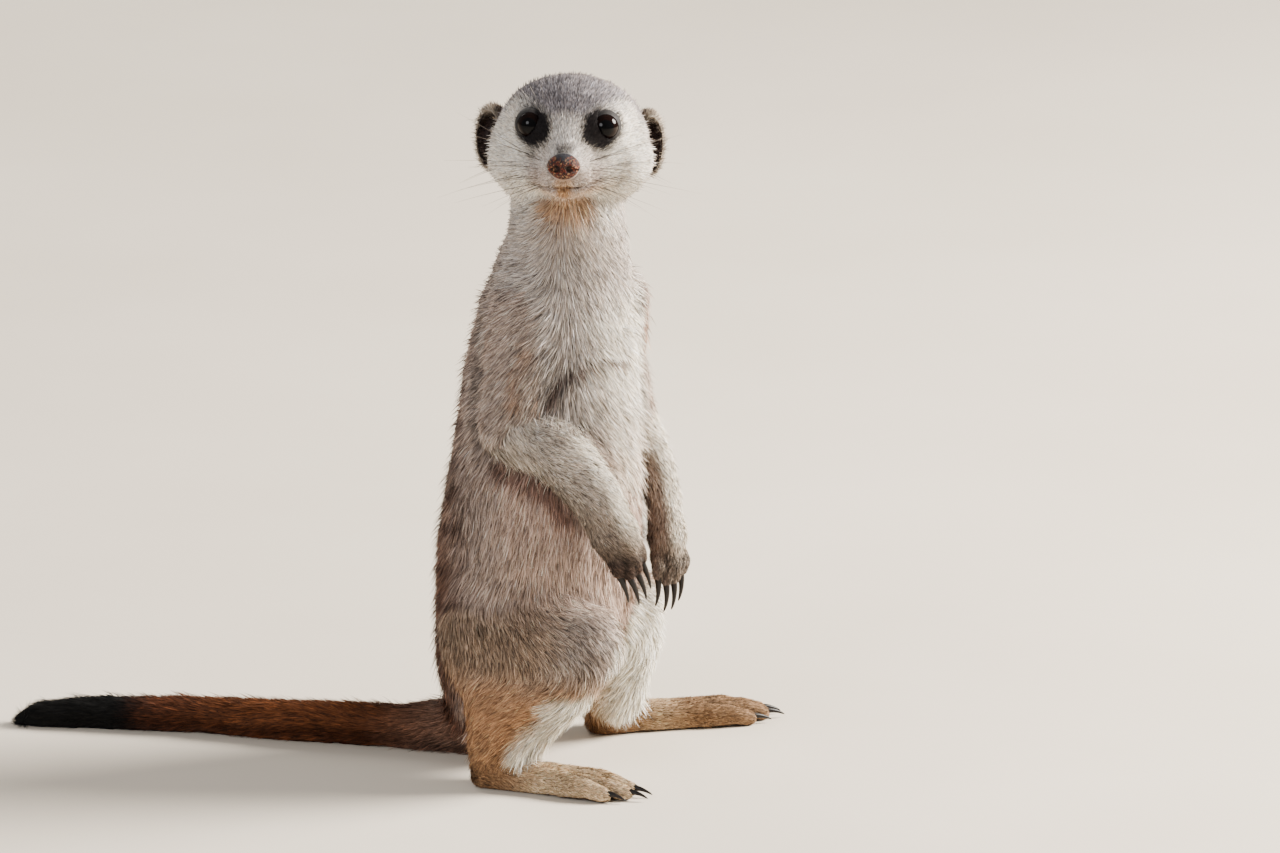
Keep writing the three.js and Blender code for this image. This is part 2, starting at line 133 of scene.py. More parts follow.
FOREARM = {
    "right": [[-17, -27, 139.5, 12.8], [0, -37, 132, 12.3], [14, -44, 115.5, 10.4], [21.5, -47.2, 101.5, 9]],
    "left": [[24, 7, 137, 11.8], [34.5, 2.5, 119, 9.2], [39.8, -1, 103, 7.3], [41, -4, 90.5, 6.9]],
}
PALM = {
    "right": [[21.5, -47.2, 101.5, 8.4], [25.2, -49, 94, 6.2]],
    "left": [[41, -4, 90.5, 6.9], [42, -6.5, 80, 6]],
}
CLAW_LEAN = {"right": [0.11, 0, 0], "left": [0.12, 0, 0]}
BACK_OF_HAND = {"right": [0.5, -0.85, 0.05], "left": [0.55, -0.8, 0]}
TAIL = [
    [-28, 8, 12.6, 13.2], [-42, 12, 9.8, 10.6], [-61, 16, 8, 8.8], [-100, 25, 7.6, 8.4],
    [-138, 36, 6.7, 7.5], [-177, 42, 6, 6.8], [-200, 44, 4.8, 5.6], [-205, 44.4, 4.1, 4.8],
]
FINGERS = [[-1.5, -3], [-0.5, 0], [0.5, 0.5], [1.5, -2]]
TOES = [[-1.5, -7], [-0.5, 0], [0.5, 0], [1.5, -6]]
FORE_CLAW, HIND_CLAW = (12.5, 1.6, 46), (7.5, 1.3, 30)
SIDES = {"right": -1, "left": 1}


def head_axes():
    f = vec(math.sin(YAW) * math.cos(PITCH), -math.cos(YAW) * math.cos(PITCH), math.sin(PITCH))
    s = vec(math.cos(YAW), math.sin(YAW), 0)
    u = np.cross(f, s)
    return np.array([f, s * math.cos(ROLL) - u * math.sin(ROLL), u * math.cos(ROLL) + s * math.sin(ROLL)])


AXES = head_axes()  # the head's forward, left and up


def at_head(f, s, u):
    return HEAD + AXES.T @ vec(f, s, u)


def in_head(p):
    return (p - HEAD) @ AXES.T


NOSE_TIP, MUZZLE = at_head(38, 0, -6.6), at_head(33, 0, -9)
EYES = {s: at_head(EYE[0], s * EYE[1], EYE[2]) for s in (-1, 1)}


# ---------------------------------------------------------------- rounded shapes, as distances
def cone(a, b, ra, rb):
    a, b = vec(*a), vec(*b)
    ab = b - a

    def f(p):
        t = np.clip((p - a) @ ab / (ab @ ab), 0, 1)
        return norm(p - (a + t[..., None] * ab)) - (ra + (rb - ra) * t)

    r = max(ra, rb)
    return f, np.minimum(a, b) - r, np.maximum(a, b) + r, unit(ab)


def ball(c, r, axes=np.eye(3), lie=(0, 0, -1)):
    c, r = vec(*c), vec(*r)

    def f(p):
        q = (p - c) @ axes.T
        k0 = norm(q / r)
        return k0 * (k0 - 1) / (norm(q / (r * r)) + 1e-9)

    return f, c - r.max(), c + r.max(), vec(*lie)


def curve(rows, t):
    """A smooth curve through the rows, keyed by their first number."""
    s = np.array(rows, float)
    x, v = s[:, 0], s[:, 1:]
    slope = np.gradient(v, x, axis=0)
    t = np.clip(t, x[0], x[-1])
    i = np.clip(np.searchsorted(x, t) - 1, 0, len(x) - 2)
    h = (x[i + 1] - x[i])[..., None]
    u = ((t - x[i]) / (x[i + 1] - x[i]))[..., None]
    ends = (2 * u**3 - 3 * u * u + 1) * v[i] + (u**3 - 2 * u * u + u) * h * slope[i]
    return ends + (3 * u * u - 2 * u**3) * v[i + 1] + (u**3 - u * u) * h * slope[i + 1]


def trunk_at(z, count):
    """The trunk's middle, half widths and turn at heights z, read from a table of so many rows."""
    keys = np.linspace(TRUNK[0][0], TRUNK[-1][0], count)
    z = np.clip(z, keys[0], keys[-1])
    x, y, deep, wide, turn = (np.interp(z, keys, column) for column in curve(TRUNK, keys).T)
    return x, y, deep, wide, np.radians(turn)


def trunk_shape():
    def f(p):
        x, y, deep, wide, a = trunk_at(p[..., 2], 400)
        dx, dy = p[..., 0] - x, p[..., 1] - y
        front, side = dx * np.cos(a) - dy * np.sin(a), dx * np.sin(a) + dy * np.cos(a)
        k0 = np.hypot(front / deep, side / wide)
        d = k0 * (k0 - 1) / (np.hypot(front / deep**2, side / wide**2) + 1e-9)
        return smooth_max(d, np.maximum(TRUNK[0][0] - p[..., 2], p[..., 2] - TRUNK[-1][0]), 16)

    return f, vec(-62, -48, 10), vec(46, 48, 240), vec(0, 0, -1)


def chain(rows):
    return [cone(a[:3], b[:3], a[3], b[3]) for a, b in zip(rows, rows[1:])]


PARTS = []  # region, blend radius, shapes, coat depth, hair length, hair width, hairs per mm2


def part(region, k, shapes, depth, length, width, thick):
    PARTS.append((region, k, shapes, depth, length, width, thick))


def toe_rows(side):
    """Cones of the sole and the toes, and each claw's place, heading and underside."""
    h, t = vec(*HEEL[side], 0), vec(*TOE[side], 0)
    d, l = unit(t - h), norm(t - h)
    across = vec(-d[1], d[0], 0)

    def lift(o, reach, z, radius):
        return [*(h + d * reach + across * o + vec(0, 0, z)), radius]

    sole = [
        [lift(o * 1.2, 0, 5.8, 6.8), lift(o * 3.2, 20, 4.7, 5.7), lift(o * 4.8, l - 20, 4, 5)] for o in (-1, 1)
    ]
    toes = [
        [
            lift(o * 4.4, l - 22 + r / 2, 4.1, 4.3),
            lift(o * 5.1, l - 10 + r, 4.5, 3.9),
            lift(o * 5.4, l - 3 + r, 2.8, 3.3),
        ]
        for o, r in TOES
    ]
    claws = [(vec(*r[2][:3]) + d * 2.4 + vec(0, 0, 0.6), unit(d + vec(0, 0, -0.02)), vec(0, 0, -1)) for r in toes]
    return sole, toes, claws


def finger_rows(side):
    """Cones of the fingers, each claw's place, heading and underside, and the direction of the palm."""
    w, k = vec(*PALM[side][0][:3]), vec(*PALM[side][1][:3])
    d = unit(k - w)
    across = unit(np.cross(d, unit(vec(*BACK_OF_HAND[side]))))
    palm = np.cross(d, across)
    rows, claws = [], []
    for o, reach in FINGERS:
        a = k - d * 2 + across * o * 3.2
        b = a + d * (5.2 + reach) + across * o * 0.4 - palm
        point = unit(d + palm * 0.45)
        c = b + point * 3.4
        rows.append([[*a, 3.7], [*b, 3.3], [*c, 2.8]])
        claws.append((c + point * 1.6, unit(d + palm * 0.1 + vec(*CLAW_LEAN[side])), palm))
    return rows, claws, palm


part("trunk", 1, [trunk_shape()], 4.4, 9.0, 0.44, 5.4)
part("trunk", 14, [ball((-19, 4, 31), (25, 24, 25))], 4.4, 9, 0.44, 5.4)
part("trunk", 6, [cone((3, -5, 214), at_head(-9, 0, -8), 20, 19.5)], 3.2, 6.2, 0.42, 7.0)
for shape, k in (
    (ball(at_head(-6, 0, 1.5), (28, 28, 21), AXES), 7),
    (ball(at_head(-3, -16, -10.5), (19, 15, 14), AXES), 7),
    (ball(at_head(-3, 16, -10.5), (19, 15, 14), AXES), 7),
    (cone(at_head(8, 0, -1), at_head(30.5, 0, -7.8), 16.5, 7.4), 8),
    (cone(at_head(2, 0, -12), at_head(27, 0, -15.5), 12, 5), 6),
    (cone(at_head(8, -12, -9), at_head(26, -5, -12), 11.5, 5.6), 5),
    (cone(at_head(8, 12, -9), at_head(26, 5, -12), 11.5, 5.6), 5),
):
    part("head", k, [shape], 1.9, 3.4, 0.3, 9)
TOE_ROWS, FINGER_ROWS, CLAWS, PALM_WAY = {}, {}, {}, {}
for side in SIDES:
    thigh = [(*c[:3], unit(c[3] + vec(0, 0, -0.95))) for c in chain(THIGH[side])]
    part("leg_" + side, 10, thigh, 4.2, 8.0, 0.42, 5.8)
    part("leg_" + side, 8, chain(HAMSTRING[side]), 3.2, 6.5, 0.4, 5.8)
    part("leg_" + side, 8, chain(CALF[side]), 3.0, 6.0, 0.4, 5.8)
    part("leg_" + side, 6, chain(SHIN[side]), 2.4, 5.5, 0.38, 6.8)
    sole, TOE_ROWS[side], CLAWS["hind_" + side] = toe_rows(side)
    for rows in sole:
        part("foot_" + side, 5, chain(rows), 1.2, 2.6, 0.32, 8.5)
    for rows in TOE_ROWS[side]:
        part("foot_" + side, 1.3, chain(rows), 0.7, 1.8, 0.28, 9.5)
for side in SIDES:
    part("arm_" + side, 6, chain(UPPER_ARM[side]), 3.2, 7.0, 0.42, 6.5)
    part("fore_" + side, 4, chain(FOREARM[side]), 2.2, 4.6, 0.38, 8)
    FINGER_ROWS[side], CLAWS["fore_" + side], PALM_WAY[side] = finger_rows(side)
    part("fore_" + side, 4, chain(PALM[side]), 1.1, 2.8, 0.32, 10)
    for rows in FINGER_ROWS[side]:
        part("fore_" + side, 1.1, chain(rows), 0.7, 1.7, 0.28, 12)
part("tail", 9, chain(TAIL), 3.0, 7.5, 0.42, 9)


def lip(q):
    """Height above the line of the mouth, in the head's frame, and how far it counts."""
    f, s, u = q[..., 0], q[..., 1], q[..., 2]
    line = -14.7 - 0.9 * smooth(0, 8, -s) + 0.4 * smooth(9, 14, -s) + 0.0007 * np.maximum(s, 0) ** 3
    return u - line, smooth(14, 17, f) * smooth(15.5, 11.5, np.abs(s))


def coat_depth(p, depth):
    """The coat's depth, thinner on the face, near the eyes and on the soles."""
    near = norm(p - NOSE_TIP)
    face = 0.45 + 0.034 * near
    eyes = np.minimum(*(norm(p - EYES[s]) for s in (-1, 1)))
    face = np.where(eyes < 14, face * (0.45 + 0.55 * smooth(5.5, 12, eyes)), face)
    depth = np.where(near < 75, np.minimum(depth, np.maximum(face, 0.45)), depth)
    return depth * np.where(p[..., 2] < 8, smooth(0.2, 4.5, p[..., 2]) * 0.85 + 0.15, 1)


def finish_level(p, D, depth):
    """Skin level: the outline less the coat's depth, with eye sockets, lips and soles."""
    level = D + coat_depth(p, depth)
    for s in (-1, 1):
        level = smooth_max(level, EYE_R + 0.6 - norm(p - EYES[s]), 0.5)
    near = norm(p - NOSE_TIP) < 40
    if near.any():
        over, share = lip(in_head(p[near]))
        level[near] = smooth_max(level[near], np.minimum(0.65 - np.abs(over), level[near] + 0.9 * share), 0.35)
    return smooth_max(level, 0.12 - p[..., 2], 0.8)


def add_part(D, depth, d, new_depth, k):
    """The outline and the coat's depth with one more part blended in."""
    kd = max(k, 9)
    h = np.clip(0.5 + 0.5 * (D - d) / kd, 0, 1)
    return smooth_min(D, d, k), depth * (1 - h) + new_depth * h


def spaced(*runs):
    """Grid lines through runs of (from, to, spacing)."""
    out = [runs[0][0]]
    for lo, hi, h in runs:
        n = max(1, round((hi - lo) / h))
        out += list(np.linspace(lo, hi, n + 1)[1:])
    return np.array(out)


COARSE = 1.0
GRID = (
    spaced((-211, -38, 2.0 * COARSE), (-38, 42, 1.04 * COARSE), (42, 91, 1.2 * COARSE)),
    spaced((-66, -50, 1.1 * COARSE), (-50, 30, 1.04 * COARSE), (30, 66, 1.3 * COARSE)),
    spaced(
        (-2, 12, 0.85 * COARSE), (12, 66, 1.5 * COARSE), (66, 102, 0.95 * COARSE),
        (102, 203, 1.5 * COARSE), (203, 273, 0.85 * COARSE),
    ),
)
FAR = 9  # beyond this distance from the outline the grid isn't finished


def grid_level():
    shape = tuple(len(a) for a in GRID)
    D, depth = np.full(shape, 30.0, np.float32), np.full(shape, 3.0, np.float32)
    for _, k, shapes, new_depth, *_ in PARTS:
        lo = np.min([s[1] for s in shapes], 0) - FAR - k
        hi = np.max([s[2] for s in shapes], 0) + FAR + k
        box = tuple(slice(np.searchsorted(a, l), np.searchsorted(a, h)) for a, l, h in zip(GRID, lo, hi))
        p = np.stack(np.meshgrid(*(a[b] for a, b in zip(GRID, box)), indexing="ij"), -1)
        d = shapes[0][0](p)
        for s in shapes[1:]:
            d = np.minimum(d, s[0](p))
        D[box], depth[box] = add_part(D[box], depth[box], d, new_depth, k)
    near = np.nonzero(np.abs(D) < FAR)
    p = np.stack([a[i] for a, i in zip(GRID, near)], 1)
    level = D.copy()
    level[near] = finish_level(p, D[near], depth[near])
    return level


def survey(p, chunk=40000):
    """Outline distance, coat depth, nearest part, lie and hair sizes at the points."""
    shapes = [(i, s) for i, q in enumerate(PARTS) for s in q[2]]
    owner_of = np.array([i for i, _ in shapes])
    lies = np.array([s[3] for _, s in shapes])
    out = []
    for start in range(0, len(p), chunk):
        q = p[start : start + chunk]
        ds = np.stack([s[0](q) for _, s in shapes])
        D, depth = np.full(len(q), 30.0), np.full(len(q), 3.0)
        for i, (_, k, _, new_depth, *_) in enumerate(PARTS):
            D, depth = add_part(D, depth, ds[owner_of == i].min(0), new_depth, k)
        w = np.exp(-(ds - ds.min(0)) / 2.6)
        w /= w.sum(0)
        hairs = np.array([PARTS[i][4:7] for i in owner_of])
        out.append((D, depth, owner_of[ds.argmin(0)], w.T @ lies, w.T @ hairs))
    return [np.concatenate(x) for x in zip(*out)]


def level_at(p):
    D, depth, *_ = survey(p)
    return finish_level(p, D, depth)


def gradient(f, p, h=0.15):
    return np.stack([f(p + e) - f(p - e) for e in np.eye(3) * h], -1) / (2 * h)


def sampler(axes, values):
    """Trilinear reading of a grid."""

    def f(p):
        cell, share = [], []
        for a, x in zip(axes, p.T):
            k = np.clip(np.searchsorted(a, x) - 1, 0, len(a) - 2)
            cell.append(k)
            share.append(np.clip((x - a[k]) / (a[k + 1] - a[k]), 0, 1))
        cell, share = np.array(cell), np.array(share)
        out = 0
        for corner in CORNERS[:, :, None]:
            w = np.where(corner, share, 1 - share)
            out = out + w[0] * w[1] * w[2] * values[tuple(cell + corner)]
        return out

    return f


def surface_nets(axes, v):
    """Quads on the zero level of v, facing out."""
    inside = v < 0
    cells = np.array(v.shape) - 1
    filled = np.zeros(cells, np.int8)
    for corner in CORNERS:
        filled += inside[tuple(slice(o, o + n) for o, n in zip(corner, cells))]
    ix = np.argwhere((filled > 0) & (filled < 8))
    ids = np.full(cells, -1, np.int32)
    ids[tuple(ix.T)] = np.arange(len(ix))
    total, count = np.zeros((len(ix), 3)), np.zeros(len(ix))
    for axis, step in enumerate(np.eye(3, dtype=int)):
        for corner in CORNERS[CORNERS[:, axis] == 0]:
            a, b = (ix + corner).T, (ix + corner + step).T
            va, vb = v[tuple(a)], v[tuple(b)]
            cross = (va < 0) != (vb < 0)
            t = np.where(cross, va / np.where(cross, va - vb, 1), 0)[:, None]
            pa, pb = (np.stack([line[i] for line, i in zip(axes, end)], 1) for end in (a, b))
            total += np.where(cross[:, None], pa + (pb - pa) * t, 0)
            count += cross
    quads = []
    for axis in range(3):
        lo, hi = [slice(1, -1)] * 3, [slice(1, -1)] * 3
        lo[axis], hi[axis] = slice(0, -1), slice(1, None)
        A, B = inside[tuple(lo)], inside[tuple(hi)]
        back = np.eye(3, dtype=int)[[a for a in range(3) if a != axis]]
        for flip, mask in ((False, A & ~B), (True, ~A & B)):
            e = np.argwhere(mask) + back.sum(0)
            turns = ((1, 1), (0, 1), (0, 0), (1, 0))
            q = np.stack([ids[tuple((e - s * back[0] - t * back[1]).T)] for s, t in turns], 1)
            quads.append(q[:, ::-1] if (axis == 1) ^ flip else q)
    return total / count[:, None], np.concatenate(quads)


def relax(verts, quads, share=0.5):
    """Each vertex moved towards the middle of its neighbours."""
    total, count = np.zeros_like(verts), np.zeros(len(verts))
    for a, b in ((0, 1), (1, 2), (2, 3), (3, 0)):
        for s, t in ((a, b), (b, a)):
            for x in range(3):
                total[:, x] += np.bincount(quads[:, s], verts[quads[:, t], x], len(verts))
            count += np.bincount(quads[:, s], minlength=len(verts))
    return verts + (total / np.maximum(count, 1)[:, None] - verts) * share


def between_rings(n, m):
    """Quads between n rings of m points."""
    i, j = np.divmod(np.arange((n - 1) * m), m)
    a, b = i * m + j, i * m + (j + 1) % m
    return np.stack([a, a + m, b + m, b], 1)


def end_fans(n, m):
    """Triangles that close the first and the last of n rings of m points to two more points."""
    j, last = np.arange(m), (n - 1) * m
    k = (j + 1) % m
    ends = ((n * m, j, k), (n * m + 1, last + k, last + j))
    return np.concatenate([np.stack([np.full(m, point), a, b], 1) for point, a, b in ends])


# ---------------------------------------------------------------- the skin
level_grid = grid_level()
level_of = sampler(GRID, level_grid)
verts, quads = surface_nets(GRID, level_grid)
for _ in range(2):
    verts = relax(verts, quads)
    g = gradient(level_of, verts, 0.5)
    verts = verts - unit(g) * np.clip(level_of(verts) / np.maximum(norm(g), 0.4), -1, 1)[:, None]
for _ in range(2):
    g = gradient(level_at, verts)
    verts = verts - g / np.maximum(norm(g), 0.5)[:, None] ** 2 * np.clip(level_at(verts), -0.8, 0.8)[:, None]
normals = unit(gradient(level_at, verts))
_, depth, owner, lie, hair = survey(verts)
depth = coat_depth(verts, depth)
region = np.array([q[0] for q in PARTS])[owner]


class Surface:
    """A mesh that carries hair: its points, faces, normals, lie, coat depth, hair sizes and region."""

    def __init__(self, verts, quads, normals, lie, depth, hair, region):
        self.verts, self.quads, self.normals = verts, quads, normals
        self.lie = unit(lie - (lie * normals).sum(1)[:, None] * normals)
        self.depth, self.hair = depth, hair
        self.region = np.array([region] * len(verts)) if isinstance(region, str) else region


# hair on the head runs back from the nose
on_head = region == "head"
head_share = smooth(0.5, 6, (verts - at_head(-16, 0, -26)) @ AXES[2]) * (norm(verts - at_head(-2, 0, -5)) < 48)
lie = unit(lie) * (1 - head_share[:, None]) + unit(verts - MUZZLE) * head_share[:, None]
near_nose = norm(verts - NOSE_TIP)
hair[on_head, 0] = np.clip(0.75 + 0.055 * near_nose, 1.0, 3.8)[on_head]
hair[on_head, 1] = np.clip(0.22 + 0.003 * near_nose, 0.24, 0.42)[on_head]
hair[on_head, 2] = np.clip(14.5 - 0.13 * near_nose, 6.8, 13)[on_head]

PARTING = ((150, 176, 200, 240), (4, 3, -1, 4))  # heights, and where the breast's parting lies
BREAST_TURN = ((112, 135, 155, 172, 190, 206, 222, 240), (0, 28, 36, 48, 64, 76, 68, 30))  # heights, and degrees


def comb(p, n, region, lie):
    """The lie, parted down the breast, and on the legs forward to the knee and back down the shank."""
    x, z = p[:, 0], p[:, 2]
    breast = ((region == "trunk") | (region == "arm_right")) * smooth(0.75, -0.1, n[:, 1])
    around = unit(np.cross(vec(0, 0, 1), n))
    part_at = np.tanh((x - np.interp(z, *PARTING)) / 5)
    turn = np.radians(np.interp(z, *BREAST_TURN)) * np.where(part_at < 0, part_at, 0)
    turn = turn + np.radians(26) * smooth(110, 130, z) * np.maximum(part_at, 0)
    combed = around * np.sin(turn)[:, None] - vec(0, 0, 1) * np.cos(turn)[:, None]
    lie = lie + (combed - lie) * (breast * smooth(108, 128, z))[:, None]
    leg = np.char.startswith(region, "leg")
    ahead = x - np.where(region == "leg_left", 20, 0)
    lie = lie + vec(0.5, 0, -0.1) * (leg * smooth(50, 58, z) * smooth(-14, 0, ahead))[:, None]
    lie = lie + vec(-1.1, 0, -0.1) * (leg * smooth(56, 40, z) * smooth(8, 16, z))[:, None]
    lie = lie + vec(0.35, 0, 0.1) * (region == "fore_right")[:, None]
    return unit(lie - (lie * n).sum(1)[:, None] * n)


lie = comb(verts, normals, region, unit(lie))
surfaces = [Surface(verts, quads, normals, lie, depth, hair, region)]


def ear_axes(s):
    """Where the ear opens to, its width and its height."""
    opening = AXES[0] * math.cos(EAR_SPLAY) + AXES[1] * s * math.sin(EAR_SPLAY)
    return np.array([opening, np.cross(AXES[2], opening), AXES[2]])


EAR_AXES = {side: (at_head(*EARS[s]), ear_axes(s)) for side, s in SIDES.items()}


def ear(side, s):
    """A cup with folds inside it."""
    (f, l, u), (c, axes) = AXES, EAR_AXES[side]
    opening = axes[0]
    shell = ball(c, EAR_SIZE - 0.35, axes)[0]
    hollow = ball(c + opening * 4.6, EAR_HOLLOW, axes)[0]

    def fold(a, b, ra, rb):
        return cone(c + vec(*a) @ axes, c + vec(*b) @ axes, ra, rb)[0]

    folds = [
        fold((0.2, -s * 1.0, 6.5), (1.6, s * 2.2, 0.5), 1.1, 1.3),
        fold((1.6, s * 2.2, 0.5), (3.2, -s * 0.4, -5.2), 1.3, 1.5),
        fold((4.4, -s * 3.2, -4.5), (3.8, -s * 3.8, 1.0), 1.5, 1.0),
    ]

    def ear_level(p):
        d = smooth_max(shell(p), -hollow(p), 0.9)
        for fold in folds:
            d = smooth_min(d, np.maximum(fold(p), shell(p) + 0.4), 1.0)
        return d

    h = 0.55
    span = np.abs(axes).T @ EAR_SIZE + 1.2
    lines = [np.arange(c[i] - span[i], c[i] + span[i] + h, h) for i in range(3)]
    v, q = surface_nets(lines, ear_level(np.stack(np.meshgrid(*lines, indexing="ij"), -1)))
    for _ in range(2):
        v = relax(v, q)
        v = v - unit(gradient(ear_level, v)) * np.clip(ear_level(v), -0.4, 0.4)[:, None]
    inner = hollow(v) < 0.5
    sizes = np.where(inner[:, None], vec(2.6, 0.16, 5.0), vec(2.2, 0.24, 10.0))
    sizes[(((v - c) @ axes.T)[:, 0] > 2.5) & ~inner] = (2.8, 0.2, 10.0)
    lie = np.where(inner[:, None], opening * 0.5 + l * s * 0.8 + u * 0.2, -f * 0.5 + u * 0.45 + l * s * 0.35)
    return Surface(v, q, unit(gradient(ear_level, v)), lie, np.where(inner, 1.6, 0.7), sizes, "ear_" + side)


# each row of a lid: how far off the eyeball, and how far out from the edge of the opening
LID_ROWS = (
    (0.02, -0.06), (0.1, -0.01), (0.28, 0.03), (0.5, 0.11),
    (0.68, 0.28), (0.74, 0.5), (0.6, 0.8), (0.1, 1.15),
)
LID_POINTS = 72


def eye_axes(s):
    """The eyeball's outward, sideways and upward directions."""
    out = unit(AXES[0] * math.cos(0.16) + AXES[1] * s * math.sin(0.16) + AXES[2] * 0.04)
    across = unit(AXES[1] - out * (AXES[1] @ out))
    up = np.cross(out, across)
    return out, across, up * (1 if up @ AXES[2] > 0 else -1)


def lids(s):
    """A rim round the eyeball, drawn out at its corners, that sinks into the skin."""
    out, across, up = eye_axes(s)
    phi = np.arange(LID_POINTS) * 2 * math.pi / LID_POINTS
    cx, cy = np.cos(phi), np.sin(phi)
    r = 1 / ((np.abs(cx) / 4.95) ** 2 + (np.abs(cy) / np.where(cy > 0, 5.05, 4.95)) ** 2) ** 0.5
    turn = np.arctan2(cy, -s * cx)  # 0 towards the nose
    r = r + 0.45 * np.exp(-(((turn + 0.5) / 0.26) ** 2))
    r = r + 0.2 * np.exp(-(((np.abs(turn) - math.pi) / 0.3) ** 2))
    alpha = np.arcsin(np.clip(r / (EYE_R + 0.06), 0, 0.985))
    v = []
    for radius, more in LID_ROWS:
        a = alpha + more
        lift = 0.16 * np.clip(cy, 0, 1) * (more > 0.05)  # the upper lid is a little heavier
        d = np.cos(a)[:, None] * out + np.sin(a)[:, None] * (cx[:, None] * across + cy[:, None] * up)
        v.append(EYES[s] + d * (EYE_R + radius + lift)[:, None])
    v = np.concatenate(v)
    q = between_rings(len(LID_ROWS), LID_POINTS)
    face_n = np.cross(v[q[:, 2]] - v[q[:, 0]], v[q[:, 3]] - v[q[:, 1]])
    if (face_n * (v[q].mean(1) - EYES[s])).sum() < 0:
        q = q[:, ::-1]
    n = unit(v - EYES[s])
    edge = v[:LID_POINTS] - EYES[s]
    n[:LID_POINTS] = unit(n[:LID_POINTS] - unit(edge - out * (edge @ out)[:, None]))
    sizes = np.tile(vec(1.3, 0.2, 12.0), (len(v), 1))
    sizes[: 3 * LID_POINTS, 2] = 0
    return Surface(v, q, n, v - MUZZLE, np.full(len(v), 0.5), sizes, "head")


surfaces += [ear(side, s) for side, s in SIDES.items()] + [lids(s) for s in SIDES.values()]

# ---------------------------------------------------------------- markings, with painted shade and painted highlights
C = {k: linear(v) for k, v in dict(
    crown="878287", face="bdb3ac", white="f0e9dd", bridge="d6cfca", muzzle="a8968c", chin="c39d7a", throat="a37a52",
    lip="3a2a25", patch="110c0e", ear="3a2d2a", ear_back="7a6c61", ear_rim="cdbfac", nape="8e8078", chest="aba19b",
    belly="ad958a", low_belly="a58f83", flank="a5938a", back="7d675b", rump="6d4a38", band="46302a", under="5e2f20",
    tan="a0785a", arm="b8aca1", fore="938579", paw="5e4e42", palm="2b211e", thigh="988270", knee="a3968f",
    shank="a87e5c", cream="f8f0de", foot="d8bb98", heel="8c6a4c", sole="3a2c26", tail="653a20", tail_dark="341910",
    tip="040303",
).items()}
CHEST_CREASE_SHADE = ((-2.5, 153.8), (2.4, 164), (11.3, 168.9), (22, 166.9))  # painted shade along the chest's crease, as x and z
# reddish hair under the near forearm, with painted shadow of the forearm, as x and z
UNDER_ARM_FUR_AND_SHADE = ((-21, 126), (-11, 123), (-4, 119), (3, 110))


def plain(name, p):
    return np.tile(C[name], (len(p), 1))


def paint(colour, name, share):
    return colour + (C[name] - colour) * np.clip(share, 0, 1)[:, None]


def near_line(p, points):
    """Distance from a line that runs through points given as x and z."""
    q, best = p[:, [0, 2]], np.full(len(p), 99.0)
    for a, b in zip(points, points[1:]):
        a, d = vec(*a), vec(*b) - vec(*a)
        t = np.clip((q - a) @ d / (d @ d), 0, 1)
        best = np.minimum(best, norm(q - a - t[:, None] * d))
    return best


def cleft(p, digits):
    """1 in the clefts between toes or fingers, where painted shade goes."""
    d = np.sort([np.min([f(p) for f, *_ in chain(rows)], 0) for rows in digits], 0)
    return smooth(1.7, 0.3, d[1] - d[0]) * smooth(2.5, 0.5, d[0])


def trunk_facing(p):
    """1 on the belly and -1 on the back, with the trunk's own turn, and 1 on its left."""
    x, y, _, _, a = trunk_at(p[:, 2], 200)
    d = unit(np.stack([p[:, 0] - x, p[:, 1] - y], 1))
    return d[:, 0] * np.cos(a) - d[:, 1] * np.sin(a), d[:, 0] * np.sin(a) + d[:, 1] * np.cos(a)


def trunk_marks(p, n, region, wob, facing):
    """The trunk's colour, and the share of its dark bands."""
    x, z, fore = p[:, 0], p[:, 2], n[:, 1] < 0.3
    c = paint(plain("flank", p), "back", smooth(-0.25, -0.8, facing))
    c = paint(c, "rump", smooth(-0.1, -0.7, facing) * smooth(120, 60, z + wob * 8) * 0.85)
    c = paint(c, "low_belly", smooth(0.0, 0.6, facing))
    c = paint(c, "belly", smooth(0.1, 0.7, facing) * smooth(80, 115, z))
    c = paint(c, "chest", smooth(-0.6, 0.5, facing) * smooth(118, 152, z + wob * 6))
    # painted highlight: cream on the right of the chest, where the light falls
    lit = smooth(4, 22, x + wob * 4) * smooth(106, 122, z) * smooth(200, 180, z) * smooth(0.3, -0.2, n[:, 1])
    c = paint(c, "cream", lit * (0.3 + 0.25 * smooth(150, 165, z)))
    c = paint(c, "chest", smooth(185, 205, z) * smooth(-0.5, 0.2, facing) * 0.8)
    c = paint(c, "nape", smooth(165, 200, z) * smooth(0.2, -0.4, facing))
    wave = np.sin((z + 5 * noise(p / 12.0, 9) + 3.5 * wob) * 2 * math.pi / 13.5)
    bands = smooth(0.1, 0.75, wave) * smooth(-0.15, -0.65, facing) * smooth(36, 52, z) * smooth(176, 150, z)
    c = paint(c, "band", bands * 0.72)
    # painted shade: a dark line along the crease across the chest
    c = paint(c, "band", smooth(1.9, 0.7, near_line(p, CHEST_CREASE_SHADE) + wob * 0.4) * fore * 0.8)
    # reddish-brown hair and painted shadow in a strip under the near forearm
    c = paint(c, "under", smooth(4.5, 1.0, near_line(p, UNDER_ARM_FUR_AND_SHADE) + wob) * fore * 0.6)
    m = (region == "trunk") & (z > 88) & (z < 200)
    if m.any():  # painted shade: darker beside the arms
        gap = np.min([f(p[m]) for q in PARTS if q[0][:3] in ("arm", "for") for f, *_ in q[2]], 0)
        c[m] *= 1 - (0.42 * smooth(5.5, 2, gap) * smooth(180, 164, z[m]))[:, None]
    streaks = smooth(0.15, 0.7, noise(p / vec(2.4, 2.4, 8), 12)) * smooth(0.3, -0.1, facing)
    return paint(c, "under", streaks * smooth(100, 60, z) * 0.45), bands


